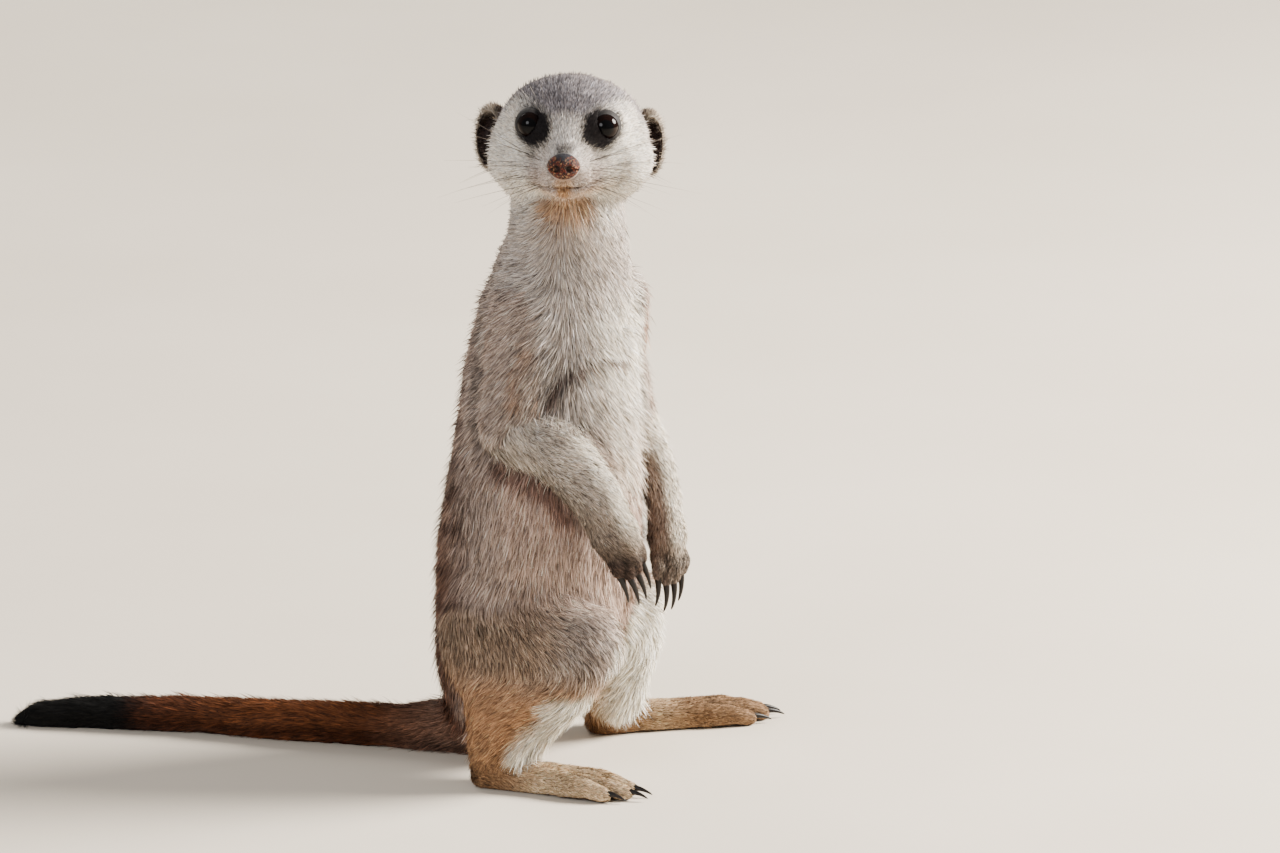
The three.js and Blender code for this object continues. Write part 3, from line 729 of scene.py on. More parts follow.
def leg_marks(p, n, region, wob):
    x, z, left = p[:, 0], p[:, 2], np.char.endswith(region, "left")
    k = paint(plain("thigh", p), "shank", smooth(56, 30, z + wob * 5))
    k = paint(k, "heel", smooth(30, 12, z) * smooth(-4, -14, x - 36 * left))
    # painted highlight: paler on the near knee
    k = paint(k, "knee", smooth(-12, 4, x) * smooth(44, 56, z) * ~left * 0.8)
    # pale fur along the legs' front, with a painted highlight where the light falls
    front = n[:, 0] * 0.92 - n[:, 1] * 0.4 + wob * 0.12
    edge = np.where(left, 0.55 - 0.2 * smooth(58, 44, z), 0.8 - 0.45 * smooth(50, 34, z))
    k = paint(k, "cream", smooth(edge, edge + 0.35, front) * smooth(72, 56, z) * 0.95)
    inner = n[:, 0] * 0.4 + n[:, 1] * np.where(left, -0.8, 0.8)
    return paint(k, "cream", smooth(0.3, 0.9, inner) * 0.75)


def foot_marks(p, n, region, wob):
    x, y = p[:, 0], p[:, 1]
    from_heel = np.minimum(np.hypot(x + 26, y + 37), np.hypot(x - 17, y - 36))
    k = paint(plain("foot", p), "heel", smooth(26, 6, from_heel))
    # painted shade: the far foot's front darker
    k = paint(k, "heel", smooth(30, 50, x) * smooth(10, 24, y) * 0.85)
    k = paint(k, "sole", smooth(-0.45, -0.8, n[:, 2])) * (0.93 + 0.1 * wob)[:, None]
    # painted shade in the clefts between the toes
    for rows in TOE_ROWS.values():
        k *= 1 - 0.6 * cleft(p, rows)[:, None]
    return k


def arm_marks(p, n, region, wob):
    z = p[:, 2]
    k = paint(plain("arm", p), "chest", smooth(150, 180, z))
    k = paint(k, "flank", smooth(130, 146, z) * 0.65)
    k = paint(k, "tan", smooth(0.0, 0.7, noise(p / vec(5, 5, 9), 14)) * smooth(132, 146, z) * 0.65)
    # painted shade: darker flank colour on the side of the arm facing away from the light
    k = paint(k * (1 - 0.17 * smooth(130, 146, z))[:, None], "flank", smooth(0.1, -0.8, n[:, 0]) * 0.6)
    # painted shade in the hollow in front of the far shoulder
    hollow = smooth(1.1, 0.5, np.hypot((p[:, 0] - 25.5) / 5.5, (z - 180) / 13))
    return paint(k, "back", hollow * smooth(0.2, -0.4, n[:, 1]) * 0.6)


def fore_marks(p, n, region, wob):
    z, left = p[:, 2], np.char.endswith(region, "left")
    low = z + 14 * left  # the left hand hangs lower
    k = paint(plain("arm", p), "fore", smooth(128, 108, low))
    # painted highlight: cream where the forearm faces the light
    lit = smooth(0.1, 0.8, n[:, 0] * 0.85 - n[:, 1] * 0.1 + n[:, 2] * 0.4 + wob * 0.2)
    k = paint(k, "cream", lit * 0.4 * smooth(92, 112, low))
    # painted shade on the far forearm's side away from the light
    shaded = smooth(0.35, -0.2, n[:, 0]) * left
    k = paint(k, "flank", shaded * smooth(132, 120, z) * 0.9) * (1 - 0.12 * shaded)[:, None]
    k = paint(k, "paw", smooth(108, 96, low + wob * 3) * np.where(left, 0.35, 0.75))
    k = paint(k, "lip", smooth(98, 91, low + wob) * np.where(left, 0.25, 0.75))
    for side in SIDES:
        palm = smooth(0.5, 0.8, n @ PALM_WAY[side]) * smooth(103, 98, low) * np.char.endswith(region, side)
        # painted shade in the clefts between the fingers
        k = paint(k, "palm", palm) * (1 - 0.65 * cleft(p, FINGER_ROWS[side]))[:, None]
    return k


def tail_marks(p, n, region, wob):
    x = p[:, 0]
    # painted shade: darker on the tail's underside
    k = paint(plain("tail", p), "tail_dark", smooth(0.2, -0.5, n[:, 2] + wob * 0.3) * 0.7)
    k = paint(k, "back", smooth(-75, -36, x) * 0.55)
    k = paint(k, "tail_dark", smooth(-115, -150, x + wob * 5) * 0.6)
    return paint(k, "tip", smooth(-148, -167, x + wob * 5))


def ear_marks(p, n, region, wob):
    k = plain("ear_back", p)
    for side, s in SIDES.items():
        c, axes = EAR_AXES[side]
        local = (p - c) @ axes.T
        cup = norm((local - vec(4.6, 0, 0)) / EAR_HOLLOW)
        ear = paint(k, "ear_rim", smooth(1.5, 4.5, local[:, 0]) * 0.85)
        ear = paint(ear, "nape", smooth(-2, 3, -local[:, 1] * s) * smooth(3, -3, local[:, 0]) * 0.7)
        ear = paint(ear, "ear", smooth(1.14, 1.0, cup) * smooth(10.5, 7.5, local[:, 2] + wob * 1.5))
        k = np.where(np.char.endswith(region, side)[:, None], ear, k)
    return k


def head_marks(p, n, wob, facing):
    """The head's colour, its grey wedge, its dark nape and how far into the eye patches a point lies."""
    z, (f, s, u) = p[:, 2], in_head(p).T
    a, back = np.abs(s), smooth(4, -18, f)
    wedge = smooth(0, 8, u - 0.5 - 0.52 * np.maximum(a - 5, 0) + 3.5 * smooth(10, 4, a) + wob * 1.5)
    wedge = wedge * smooth(25, 18, f + wob)
    k = paint(plain("face", p), "crown", np.maximum(wedge, smooth(7, -7, f) * smooth(-4, 8, u)))
    k = paint(k, "nape", back * 0.7)
    k = paint(k, "bridge", smooth(7, 3, a) * smooth(17, 24, f) * smooth(14, 6, u))
    k = paint(k, "white", smooth(-4, 8, f) * smooth(9, -2, u) * smooth(5, 11, a) * smooth(25, 17, f) * 0.75)
    ds, du, ahead = a - EYE[1], u - EYE[2], smooth(-2, 4, f)
    k = paint(k, "white", smooth(1.2, 0.85, np.hypot((ds - 2) / 11, (du + 1.5) / 9)) * ahead * 0.45)
    k = paint(k, "muzzle", smooth(19, 27, f) * smooth(-6, -11, u) * 0.7)
    dark = np.hypot((ds + 1.8) / 7.0, (du + 1.1) / 7.5) + wob * 0.16 + noise(p / 1.2, 6) * 0.08
    k = paint(k, "patch", smooth(1.2, 0.8, dark) * ahead)
    k = paint(k, "patch", smooth(1.5, 0.4, np.hypot((ds + 2.2) / 2.6, (du + 9.5) / 3.2)) * 0.5)
    k = paint(k, "patch", smooth(2.6, 1.0, np.hypot(s / 1.8, u + 1.4)) * smooth(27, 31, f) * 0.7)
    over, share = lip(in_head(p))
    k = paint(k, "chin", smooth(-0.5, -3, over) * smooth(12, 20, f) * 0.45)
    k = paint(k, "chin", smooth(4.5, 2.0, np.hypot(s, u + 13.4)) * smooth(24, 29, f) * 0.7)
    k = paint(k, "lip", smooth(1.0, 0.35, np.abs(over)) * share * (0.75 - 0.4 * smooth(1, 6, s)))
    # the tan throat, its colour darkened as painted shade under the chin
    k = paint(k, "throat", smooth(3.4, 1.6, np.hypot(s, over + 1.5)) * smooth(20, 26, f) * 0.8)
    k = paint(k, "throat", smooth(-18.5, -23, u) * smooth(-12, 4, f) * smooth(11.5, 4, a) * 0.8)
    k = paint(k, "chest", smooth(232, 216, z + wob * 3) * smooth(-0.4, 0.1, facing) * 0.8)
    front = smooth(0.1, 0.8, -n[:, 1]) * smooth(236, 226, z) * smooth(217, 226, z) * smooth(12, 4, a)
    return paint(k, "throat", front * 0.5), wedge, back, dark


# region, its colours, share of dark hairs, and share of pale tips where it has its own
MARKS = (
    ("foot", foot_marks, 0.16, 0.3), ("arm", arm_marks, 0.14, None), ("fore", fore_marks, 0.14, 0.3),
    ("tail", tail_marks, 0.22, None), ("ear", ear_marks, 0.12, 0.15),
)


def markings(p, n, region):
    """Colour, share of dark ticked hairs and share of pale tips at each point."""
    z = p[:, 2]
    wob = noise(p / 7.0, 3) * 0.6 + noise(p / 3.0, 4) * 0.4
    facing = trunk_facing(p)[0] + wob * 0.12
    c, bands = trunk_marks(p, n, region, wob, facing)
    tick = 0.12 + 0.25 * smooth(0.3, -0.6, facing)
    leg, fore = np.char.startswith(region, "leg"), np.char.startswith(region, "fore")
    c = c + (leg_marks(p, n, region, wob) - c) * (leg * smooth(86, 60, z + wob * 5))[:, None]
    tick = np.where(leg, 0.12 + 0.2 * smooth(70, 60, z + wob * 4) * smooth(30, 60, z), tick)
    pale = 0.3 + 0.12 * smooth(0, 0.6, facing) - 0.12 * bands + 0.14 * leg * smooth(40, 54, z)
    for name, marks, dark_hairs, pale_tips in MARKS:
        m = np.char.startswith(region, name)
        if m.any():
            c[m], tick[m] = marks(p[m], n[m], region[m], wob[m]), dark_hairs
            pale[m] = pale[m] if pale_tips is None else pale_tips
    tick += 0.16 * fore * smooth(112, 96, z + 14 * np.char.endswith(region, "left"))
    m = (region == "head") | (region == "trunk") & (z > 205)
    if m.any():
        k, wedge, back, dark = head_marks(p[m], n[m], wob[m], facing[m])
        c[m] += (k - c[m]) * np.where(region[m] == "head", 1.0, smooth(206, 222, z[m]))[:, None]
        tick[m] = np.where(dark < 1, 0, 0.06 + 0.22 * wedge + 0.2 * back)
        pale[m] = 0.2 + 0.1 * smooth(6, -10, in_head(p[m])[:, 2]) - 0.1 * (dark < 1)
    return np.clip(c, 0.002, 1), tick, pale


# ---------------------------------------------------------------- unwrapping the skin's own shape
# start, end, where the seam lies, and radius
CYLINDERS = {
    "trunk": (vec(-6, -1, 20), vec(-6, -1, 240), vec(0.3, 0.9, 0), 37),
    "tail": (vec(-28, 8, 12), vec(-205, 44.4, 6), vec(0, 0, -1), 6),
}
for side, inward in (("right", 1), ("left", -1)):
    knee, ankle = vec(*THIGH[side][1][:3]) + vec(-6, 0, 20), vec(*HAMSTRING[side][1][:3])
    elbow, hand = vec(*FOREARM[side][0][:3]), vec(*PALM[side][1][:3])
    CYLINDERS["leg_" + side] = (knee, ankle, vec(0, inward, 0), 17)
    CYLINDERS["foot_" + side] = (vec(*HEEL[side], 6), vec(*TOE[side], 4), vec(0, 0, -1), 9)
    CYLINDERS["arm_" + side] = (*(vec(*UPPER_ARM[side][i][:3]) for i in (0, 2)), vec(0, inward, 0), 14)
    CYLINDERS["fore_" + side] = (elbow, hand, vec(-0.6, 0.5 * inward, -0.5), 10)
    CYLINDERS["ear_" + side] = (EAR_AXES[side][0], EAR_AXES[side][0] + AXES[2], -AXES[0], 7)


def charts(p, region):
    """Chart name and flat place in millimetres: bands round each limb, and two discs for the head."""
    name, uv = region.copy().astype("U12"), np.zeros((len(p), 2))
    m = region == "head"
    if m.any():
        d = unit(in_head(p[m]) - vec(-2, 0, -5))
        front = d[:, 0] > -0.17
        theta = np.arccos(np.clip(np.where(front, d[:, 0], -d[:, 0]), -1, 1))
        flat = unit(np.stack([np.where(front, d[:, 1], -d[:, 1]), d[:, 2]], 1))
        uv[m] = flat * (theta * 26)[:, None]
        name[m] = np.where(front, "head_front", "head_back")
    for key, (a, b, seam, radius) in CYLINDERS.items():
        m = region == key
        if m.any():
            d = unit(b - a)
            e1 = unit(seam - d * (seam @ d))
            e2 = np.cross(d, e1)
            q = p[m] - a
            uv[m] = np.stack([np.arctan2(-(q @ e2), -(q @ e1)) * radius, q @ d], 1)
    return name, uv


def atlas(name, uv):
    """Charts laid in rows. Gives each chart's corner and place, and the size of the whole."""
    boxes = []
    for key in sorted(set(name)):
        m = name == key
        boxes.append([key, uv[m].min(0) - 1, uv[m].max(0) + 1])
    boxes.sort(key=lambda b: -(b[2] - b[1])[1])
    area = sum(np.prod(b[2] - b[1]) for b in boxes)
    width = max(max((b[2] - b[1])[0] for b in boxes), math.sqrt(area) * 1.12)
    place, x, y, row = {}, 0.0, 0.0, 0.0
    for key, lo, hi in boxes:
        w, h = hi - lo
        if x + w > width + 1e-6:
            x, y, row = 0.0, y + row, 0.0
        place[key] = (lo, vec(x, y))
        x, row = x + w, max(row, h)
    return place, vec(width, y + row)


def in_atlas(name, uv):
    """Places in the unit square."""
    place, size = atlas(name, uv)
    out = np.zeros_like(uv)
    for key in set(name):
        m = name == key
        lo, shift = place[key]
        out[m] = (uv[m] - lo + shift) / size
    return out * 0.98 + 0.01


# ---------------------------------------------------------------- meshes
def corners_of(*faces):
    """The corners in one row, and how many each face has, from arrays of faces."""
    return np.concatenate([f.ravel() for f in faces]), np.concatenate([np.full(*f.shape) for f in faces])


def mesh_object(name, verts, faces, material, colours=None, uvs=None, normals=None, move=MOVE):
    """Takes millimetres. The faces are an array of one width, or corners_of several."""
    me = bpy.data.meshes.new(name)
    corners, sizes = faces if isinstance(faces, tuple) else corners_of(faces)
    me.vertices.add(len(verts))
    me.vertices.foreach_set("co", ((verts + move) * MM).astype(np.float32).ravel())
    me.loops.add(len(corners))
    me.loops.foreach_set("vertex_index", corners.astype(np.int32))
    me.polygons.add(len(sizes))
    me.polygons.foreach_set("loop_start", (np.cumsum(sizes) - sizes).astype(np.int32))
    me.polygons.foreach_set("loop_total", sizes.astype(np.int32))
    me.polygons.foreach_set("use_smooth", np.full(len(sizes), True))
    me.update(calc_edges=True)
    if colours is not None:
        rgba = np.ones((len(verts), 4), np.float32)
        rgba[:, :3] = colours
        me.color_attributes.new("Col", "FLOAT_COLOR", "POINT").data.foreach_set("color", rgba.ravel())
    if uvs is not None:
        me.uv_layers.new(name="OFBake").uv.foreach_set("vector", uvs.astype(np.float32).ravel())
    if normals is not None:
        me.normals_split_custom_set_from_vertices(normals.astype(np.float32))
    me.materials.append(material)
    ob = bpy.data.objects.new(name, me)
    bpy.context.scene.collection.objects.link(ob)
    return ob


class Nodes:
    """A material, with short ways to add nodes to it."""

    def __init__(self, name, **settings):
        self.material = bpy.data.materials.new(name)
        self.material.use_nodes = True
        self.tree = self.material.node_tree
        self.shader = self.tree.nodes["Principled BSDF"]
        for key, value in settings.items():
            self.fill(self.shader.inputs[key.replace("_", " ")], value)
        self.coords = self.node("TexCoord", {}, "Object")

    def fill(self, socket, value):
        """Links a socket to another, or sets it."""
        if isinstance(value, bpy.types.NodeSocket):
            self.tree.links.new(value, socket)
        else:
            socket.default_value = (*value, 1) if socket.type == "RGBA" else value

    def node(self, kind, inputs, output=0, **settings):
        """Adds a node and gives one of its outputs."""
        n = self.tree.nodes.new("ShaderNode" + kind)
        for key, value in settings.items():
            setattr(n, key, value)
        for key, value in inputs.items():
            self.fill(n.inputs[key], value)
        return n.outputs[output]

    def stretched(self, scale):
        return self.node("Mapping", {"Vector": self.coords, "Scale": scale})

    def noise(self, scale, detail=3, rough=0.55, coords=None):
        place = {"Vector": self.coords if coords is None else coords}
        return self.node("TexNoise", {"Scale": scale, "Detail": detail, "Roughness": rough, **place}, "Fac")

    def ramp(self, fac, *stops):
        out = self.node("ValToRGB", {0: fac})
        marks = out.node.color_ramp.elements
        while len(marks) < len(stops):
            marks.new(0.5)
        for mark, (at, colour) in zip(marks, stops):
            mark.position = at
            mark.color = (*colour, 1)
        return out

    def range(self, fac, lo, hi, a=0.0, b=1.0):
        return self.node("MapRange", {"From Min": a, "From Max": b, "To Min": lo, "To Max": hi, "Value": fac})

    def mix(self, fac, a, b, blend="MIX"):
        return self.node("Mix", {0: fac, 6: a, 7: b}, 2, data_type="RGBA", blend_type=blend)

    def finish(self, colour, rough, height, strength, distance):
        """Links the shader to its colour, its roughness and its bumps, and gives the material."""
        bumps = self.node("Bump", {"Strength": strength, "Distance": distance, "Height": height})
        for key, value in (("Base Color", colour), ("Roughness", rough), ("Normal", bumps)):
            self.fill(self.shader.inputs[key], value)
        return self.material


def grey(v):
    return (v, v, v)


def painted(name, rough, speck, bump, scale, **settings):
    """The markings from the mesh, varied by noise, with fine bumps."""
    m = Nodes(name, **settings)
    n = m.noise(scale)
    fine = m.ramp(n, (0.25, grey(1 - speck)), (0.75, grey(1 + speck * 0.6)))
    broad = m.ramp(m.noise(70, 2), (0.3, grey(0.93)), (0.7, grey(1.05)))
    marks = m.mix(1.0, m.node("VertexColor", {}, "Color", layer_name="Col"), fine, "MULTIPLY")
    colour = m.mix(1.0, marks, broad, "MULTIPLY")
    return m.finish(colour, m.range(n, *rough, 0.3, 0.7), m.noise(scale * 1.7, 2), bump, 0.0003)


skin_material = painted("skin", (0.62, 0.85), 0.25, 0.6, 1400)
coat_material = painted("coat", (0.55, 0.72), 0.1, 0.15, 1200, Specular_IOR_Level=0.14)

# ---------------------------------------------------------------- one skin
starts = np.cumsum([0] + [len(x.verts) for x in surfaces])
sv, sn, sr = (np.concatenate([getattr(x, key) for x in surfaces]) for key in ("verts", "normals", "region"))
sq = np.concatenate([x.quads + start for x, start in zip(surfaces, starts)])
tone = markings(sv, sn, sr)[0] * 0.62
tone[starts[-3] :] = C["patch"] * 0.9  # the lids
face_region = sr[sq[:, 0]]
face_name, centre_uv = charts(sv[sq].mean(1), face_region)
corner_uv = np.zeros((len(sq), 4, 2))
for i in range(4):
    name_i, uv_i = charts(sv[sq[:, i]], face_region)
    for key, (_, _, _, radius) in CYLINDERS.items():  # a face on the seam stays in one piece
        m = face_region == key
        turn = 2 * math.pi * radius
        uv_i[m, 0] += np.round((centre_uv[m, 0] - uv_i[m, 0]) / turn) * turn
    odd = name_i != face_name
    uv_i[odd] = centre_uv[odd]
    corner_uv[:, i] = uv_i
place = in_atlas(np.repeat(face_name, 4), corner_uv.reshape(-1, 2))
skin = mesh_object("skin", sv, sq, skin_material, tone, place, sn)
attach(skin, "root")
LIMBS = ("thigh_", "shank_", "foot_", "upper_arm_", "forearm_", "forepaw_")
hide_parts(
    "trunk", "neck", "head", "ear_right", "ear_left", *(limb + side for limb in LIMBS for side in SIDES),
    "tail_base", "tail_middle", "tail_tip",
)
print("skin", len(sv), len(sq))


# ---------------------------------------------------------------- the coat
def roots(surface, thin):
    """Random points over a surface, as many per mm2 as its hair sizes say."""
    v, q = surface.verts, surface.quads
    tri = np.concatenate([q[:, [0, 1, 2]], q[:, [0, 2, 3]]])
    a, b, c = v[tri[:, 0]], v[tri[:, 1]], v[tri[:, 2]]
    want = norm(np.cross(b - a, c - a)) / 2 * surface.hair[tri, 2].mean(1) * thin
    steps = np.cumsum(want)
    n = int(steps[-1])
    pick = np.searchsorted(steps, (np.arange(n) + rng.random(n)) * steps[-1] / n)
    t = tri[np.clip(pick, 0, len(tri) - 1)]
    r1, r2 = np.sqrt(rng.random(n)), rng.random(n)
    w = np.stack([1 - r1, r1 * (1 - r2), r1 * r2], 1)

    def read(x):
        return (x[t] * (w[:, :, None] if x.ndim == 2 else w)).sum(1)

    return dict(
        p=read(v), n=unit(read(surface.normals)), lie=unit(read(surface.lie)), depth=read(surface.depth),
        hair=read(surface.hair), region=surface.region[t[:, 0]],
    )


def nearest_tuft(p, size, seed):
    """The nearest jittered lattice point, which the tips of a tuft lean to, and the tuft's tone in -1..1."""
    base = np.floor(p / size)
    best, at, tone = np.full(len(p), 1e9), p.copy(), np.zeros(len(p))
    for offset in np.ndindex(3, 3, 3):
        cell = base + np.array(offset) - 1
        c = (cell + np.stack([lattice(cell, seed + a) for a in range(3)], 1)) * size
        d = ((c - p) ** 2).sum(1)
        m = d < best
        best[m], at[m], tone[m] = d[m], c[m], lattice(cell[m], seed + 9)
    return at, tone * 2 - 1


def ruff(p, n, region):
    """Where the hair stands out: on the cheeks, and along the front of the legs."""
    q = in_head(p)
    cheek = (region == "head") * smooth(19, 23, np.abs(q[:, 1])) * smooth(-10, -6, q[:, 0])
    cheek = cheek * smooth(7, 2, q[:, 0]) * smooth(-20, -14, q[:, 2]) * smooth(10, 5, q[:, 2])
    front = n[:, 0] * 0.92 - n[:, 1] * 0.4
    fringe = np.char.startswith(region, "leg") * smooth(0.25, 0.7, front)
    return cheek, fringe * smooth(8, 18, p[:, 2]) * smooth(66, 52, p[:, 2]), np.sign(q[:, 1])


def gather(p, n, length):
    """How far each tip leans over to its tuft, and the tuft's tone."""
    size = np.clip(length * 0.42, 0.9, 4.2)
    small, small_tone = nearest_tuft(p, 1.0, 31)
    large, large_tone = nearest_tuft(p, 2.2, 35)
    wide = size > 1.9
    pull = np.where(wide[:, None], large, small) - p
    pull = pull - (pull * n).sum(1)[:, None] * n
    pull = pull * np.minimum(1, size * 0.7 / (norm(pull) + 1e-6))[:, None]
    return pull, np.where(wide, large_tone * 0.2 + small_tone * 0.16, small_tone * 0.22)


def grow(r):
    """Root, middle, tip, half width and tone of each tuft, a blade bent once."""
    p, n, region, depth = r["p"], r["n"], r["region"], r["depth"]
    count, ear = len(p), np.char.startswith(region, "ear")
    length, width = r["hair"][:, 0], r["hair"][:, 1]
    # the lie wanders slowly, and a little from hair to hair
    swirl = noise(p / 16.0, 21) * 0.28 + noise(p / 5.0, 22) * 0.16 + rng.normal(0, 0.12, count)
    lie = unit(r["lie"] + np.cross(r["lie"], n) * swirl[:, None])
    length = length * (0.72 + 0.5 * rng.random(count)) * (1 + 0.12 * noise(p / 6.0, 23))
    lift = (0.62 + 0.42 * rng.random(count)) * (1 + 0.18 * noise(p / 4.5, 24))
    cheek, fringe, outward = ruff(p, n, region)
    stand = (outward[:, None] * AXES[1] * 0.8 - AXES[2] * 0.3) * cheek[:, None]
    lie = unit(lie + stand + rng.normal(0, 0.35, (count, 3)) * ear[:, None])
    length = length + 0.7 * cheek + 2.5 * fringe
    stray = rng.random(count) < 0.05 + 0.2 * fringe
    lift = np.where(stray, lift * 1.6, lift) * (1 + 0.35 * cheek + 0.25 * fringe)
    pull, tone = gather(p, n, length)
    tip = p + lie * length[:, None] + pull * (0.68 * np.where(stray | ear, 0.2, 1))[:, None]
    mid = p + lie * (length * 0.48)[:, None] + pull * 0.28
    for q, h in ((mid, depth * 0.66 * lift), (tip, depth * 1.02 * lift)):
        for _ in range(2):
            q[~ear] += n[~ear] * np.clip(h[~ear] - level_of(q[~ear]), -6, 6)[:, None] * 0.85
        q[ear] += n[ear] * h[ear, None]
    root = p - n * np.minimum(0.3, depth * 0.25)[:, None]
    for q in (root, mid, tip):
        q[:, 2] = np.maximum(q[:, 2], 0.12)
    roll = rng.normal(0, 0.45, count)
    side = unit(np.cross(lie, n))
    side = side * np.cos(roll)[:, None] + n * np.sin(roll)[:, None]
    half = side * (width * (0.75 + 0.5 * rng.random(count)) / 2)[:, None]
    return root, mid, tip, half, tone


# each blade has a quad at its root and a triangle at its tip; each corner has its place in a tiny patch
BLADE = np.array([0, 1, 3, 2, 2, 3, 4])
BLADE_PATCH = 0.0015 * np.array([[-1, -1], [1, -1], [1, 0], [-1, 0], [-1, 0], [1, 0], [0, 1]])


def blade_colours(r, tone):
    """Dark at the root, with ticked and pale-tipped hairs among the rest."""
    count = len(tone)
    colour, tick, pale = markings(r["p"] + rng.normal(0, 0.45, (count, 3)), r["n"], r["region"])
    value = np.exp(rng.normal(0, 0.24, count) + tone + 0.1 * noise(r["p"] / 5.0, 52))
    ticked, light = rng.random(count) < tick, rng.random(count) < pale
    value = np.where(ticked, value * 0.4, value)
    end = np.where(light & ~ticked, 2.1, 1.05)[:, None] * vec(1.02, 1, 0.94)
    warm = 1 + rng.normal(0, 0.03, count)
    base = colour * value[:, None] * np.stack([warm, np.ones(count), 2 - warm], 1)
    rows = [base * 0.38, base * 0.38, base * 0.86, base * 0.86, base * end + 0.004]
    return np.clip(np.stack(rows, 1).reshape(-1, 3), 0.001, 0.97)


def coat(name, r):
    """One piece of the coat, with its markings and its place on the skin's unwrap."""
    root, mid, tip, half, tone = grow(r)
    count = len(root)
    v = np.stack([root - half, root + half, mid - half * 0.8, mid + half * 0.8, tip], 1).reshape(-1, 3)
    corners = (np.arange(count)[:, None] * 5 + BLADE).ravel()
    colours = blade_colours(r, tone)
    face_n = unit(np.cross(mid - root, half))
    face_n *= np.sign((face_n * r["n"]).sum(1))[:, None]
    shade = np.repeat(unit(r["n"] * 0.5 + face_n * 0.5), 5, axis=0)
    uvs = (in_atlas(*charts(r["p"], r["region"]))[:, None] + BLADE_PATCH).reshape(-1, 2)
    ob = mesh_object(name, v, (corners, np.tile([4, 3], count)), coat_material, colours, uvs, shade)
    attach(ob, "root")
    print(name, count)
    return count


grown = [roots(x, 1.0) for x in surfaces]
every = {k: np.concatenate([g[k] for g in grown]) for k in grown[0]}

# no hair on the nose leather, over the open eye, along the mouth, or on the soles and palms
p, reg = every["p"], every["region"]
over, share = lip(in_head(p))
bare = norm((in_head(p) - NOSE) / NOSE_SIZE) < 1.06
bare |= p[:, 2] < 0.6
bare |= (np.abs(over) < 0.35) & (share > 0.5) & (reg == "head")
for side, s in SIDES.items():
    bare |= (norm(p - EYES[s]) < EYE_R + 0.45) & (reg == "head")
    palm = (every["n"] @ PALM_WAY[side] > 0.55) & (p[:, 2] < (98 if side == "right" else 85))
    bare |= (reg == "fore_" + side) & palm
every = {k: x[~bare] for k, x in every.items()}

p, reg = every["p"], every["region"]
facing, left = trunk_facing(p)
ahead, trunk, flank = in_head(p)[:, 0] > 2, reg == "trunk", np.abs(facing) <= 0.707
groups = [
    ("coat_face", (reg == "head") & ahead, "face_coat"),
    ("coat_head", (reg == "head") & ~ahead | np.char.startswith(reg, "ear"), "face_coat"),
    ("coat_front", trunk & (facing > 0.707), "coat"),
    ("coat_back", trunk & (facing < -0.707), "coat"),
    ("coat_left", trunk & flank & (left > 0), "coat"),
    ("coat_right", trunk & flank & (left <= 0), "coat"),
]
for side in SIDES:
    groups.append(("coat_leg_" + side, (reg == "leg_" + side) | (reg == "foot_" + side), "coat"))
    groups.append(("coat_arm_" + side, (reg == "arm_" + side) | (reg == "fore_" + side), "coat"))
groups.append(("coat_tail", reg == "tail", "tail_coat"))
print("blades", sum(coat(name, {k: x[m] for k, x in every.items()}) for name, m, slot in groups))

# ---------------------------------------------------------------- eyes
eye = Nodes("eyeball", IOR=1.36, Specular_IOR_Level=0.19)
from_axis = eye.node("VectorMath", {0: eye.stretched((1, 1, 0))}, "Value", operation="LENGTH")
radial = eye.range(from_axis, 0, 1, 0, EYE_R * MM)
streak = eye.noise(1500, 3, 0.6)
iris = eye.mix(streak, (0.002, 0.001, 0.001), (0.01, 0.004, 0.003))
pupil = eye.mix(eye.ramp(radial, (0.5, grey(0)), (0.56, grey(1))), (0.002, 0.002, 0.0025), iris)
eye_colour = eye.mix(eye.ramp(radial, (0.86, grey(0)), (0.94, grey(1))), pupil, (0.004, 0.003, 0.003))
eye.finish(eye_colour, eye.range(streak, 0.04, 0.07), eye.noise(900, 2), 0.03, 0.0001)


def eyeball():
    """A ball with a slight bulge in front, closed by a point at each end."""
    n_round, n_rings = 64, 39
    a = np.arange(1, n_rings + 1)[:, None] * math.pi / (n_rings + 1)
    b = np.arange(n_round) * 2 * math.pi / n_round
    ring = np.stack([np.sin(a) * np.cos(b), np.sin(a) * np.sin(b), np.cos(a) + 0 * b], -1)
    v = ring * (EYE_R * (1 + 0.012 * np.exp(-((a / 0.5) ** 2)) - 0.012))[..., None]
    v = np.concatenate([v.reshape(-1, 3), [(0, 0, EYE_R), (0, 0, -EYE_R * 0.988)]])
    return v, corners_of(between_rings(n_rings, n_round), end_fans(n_rings, n_round))


for side, s in SIDES.items():
    out, across, _ = eye_axes(s)
    ob = mesh_object("eyeball_" + side, *eyeball(), eye.material, move=0)
    turned = Matrix(np.array([across, np.cross(out, across), out]).T.tolist()).to_4x4()
    ob.matrix_world = Matrix.Translation(Vector(((EYES[s] + MOVE) * MM).tolist())) @ turned
    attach(ob, "root")
    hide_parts("eye_" + side)


# ---------------------------------------------------------------- nose leather
def nose_level(p):
    """A pad with two wings, each with a nostril and its slit, and a groove down the middle."""
    q = in_head(p) - NOSE
    d = ball((0, 0, 0), NOSE_SIZE - 0.1)[0](q)
    for s in (-1, 1):
        wing = np.maximum(norm(q - vec(0.9, s * 3.3, 0.3)) - 2.9, ball((0, 0, 0), NOSE_SIZE + 0.1)[0](q))
        d = smooth_min(d, wing, 0.8)
        hole = norm(q - vec(4.0, s * 2.4, -0.5)) - 1.35
        slit = cone((3.6, s * 2.6, -0.6), (1.2, s * 5.6, -1.2), 1.1, 0.55)[0](q)
        d = smooth_max(d, -smooth_min(hole, slit, 0.5), 0.5)
    return smooth_max(d, -cone((4.7, 0, 0.2), (2.6, 0, -5.2), 0.42, 0.5)[0](q), 0.5)


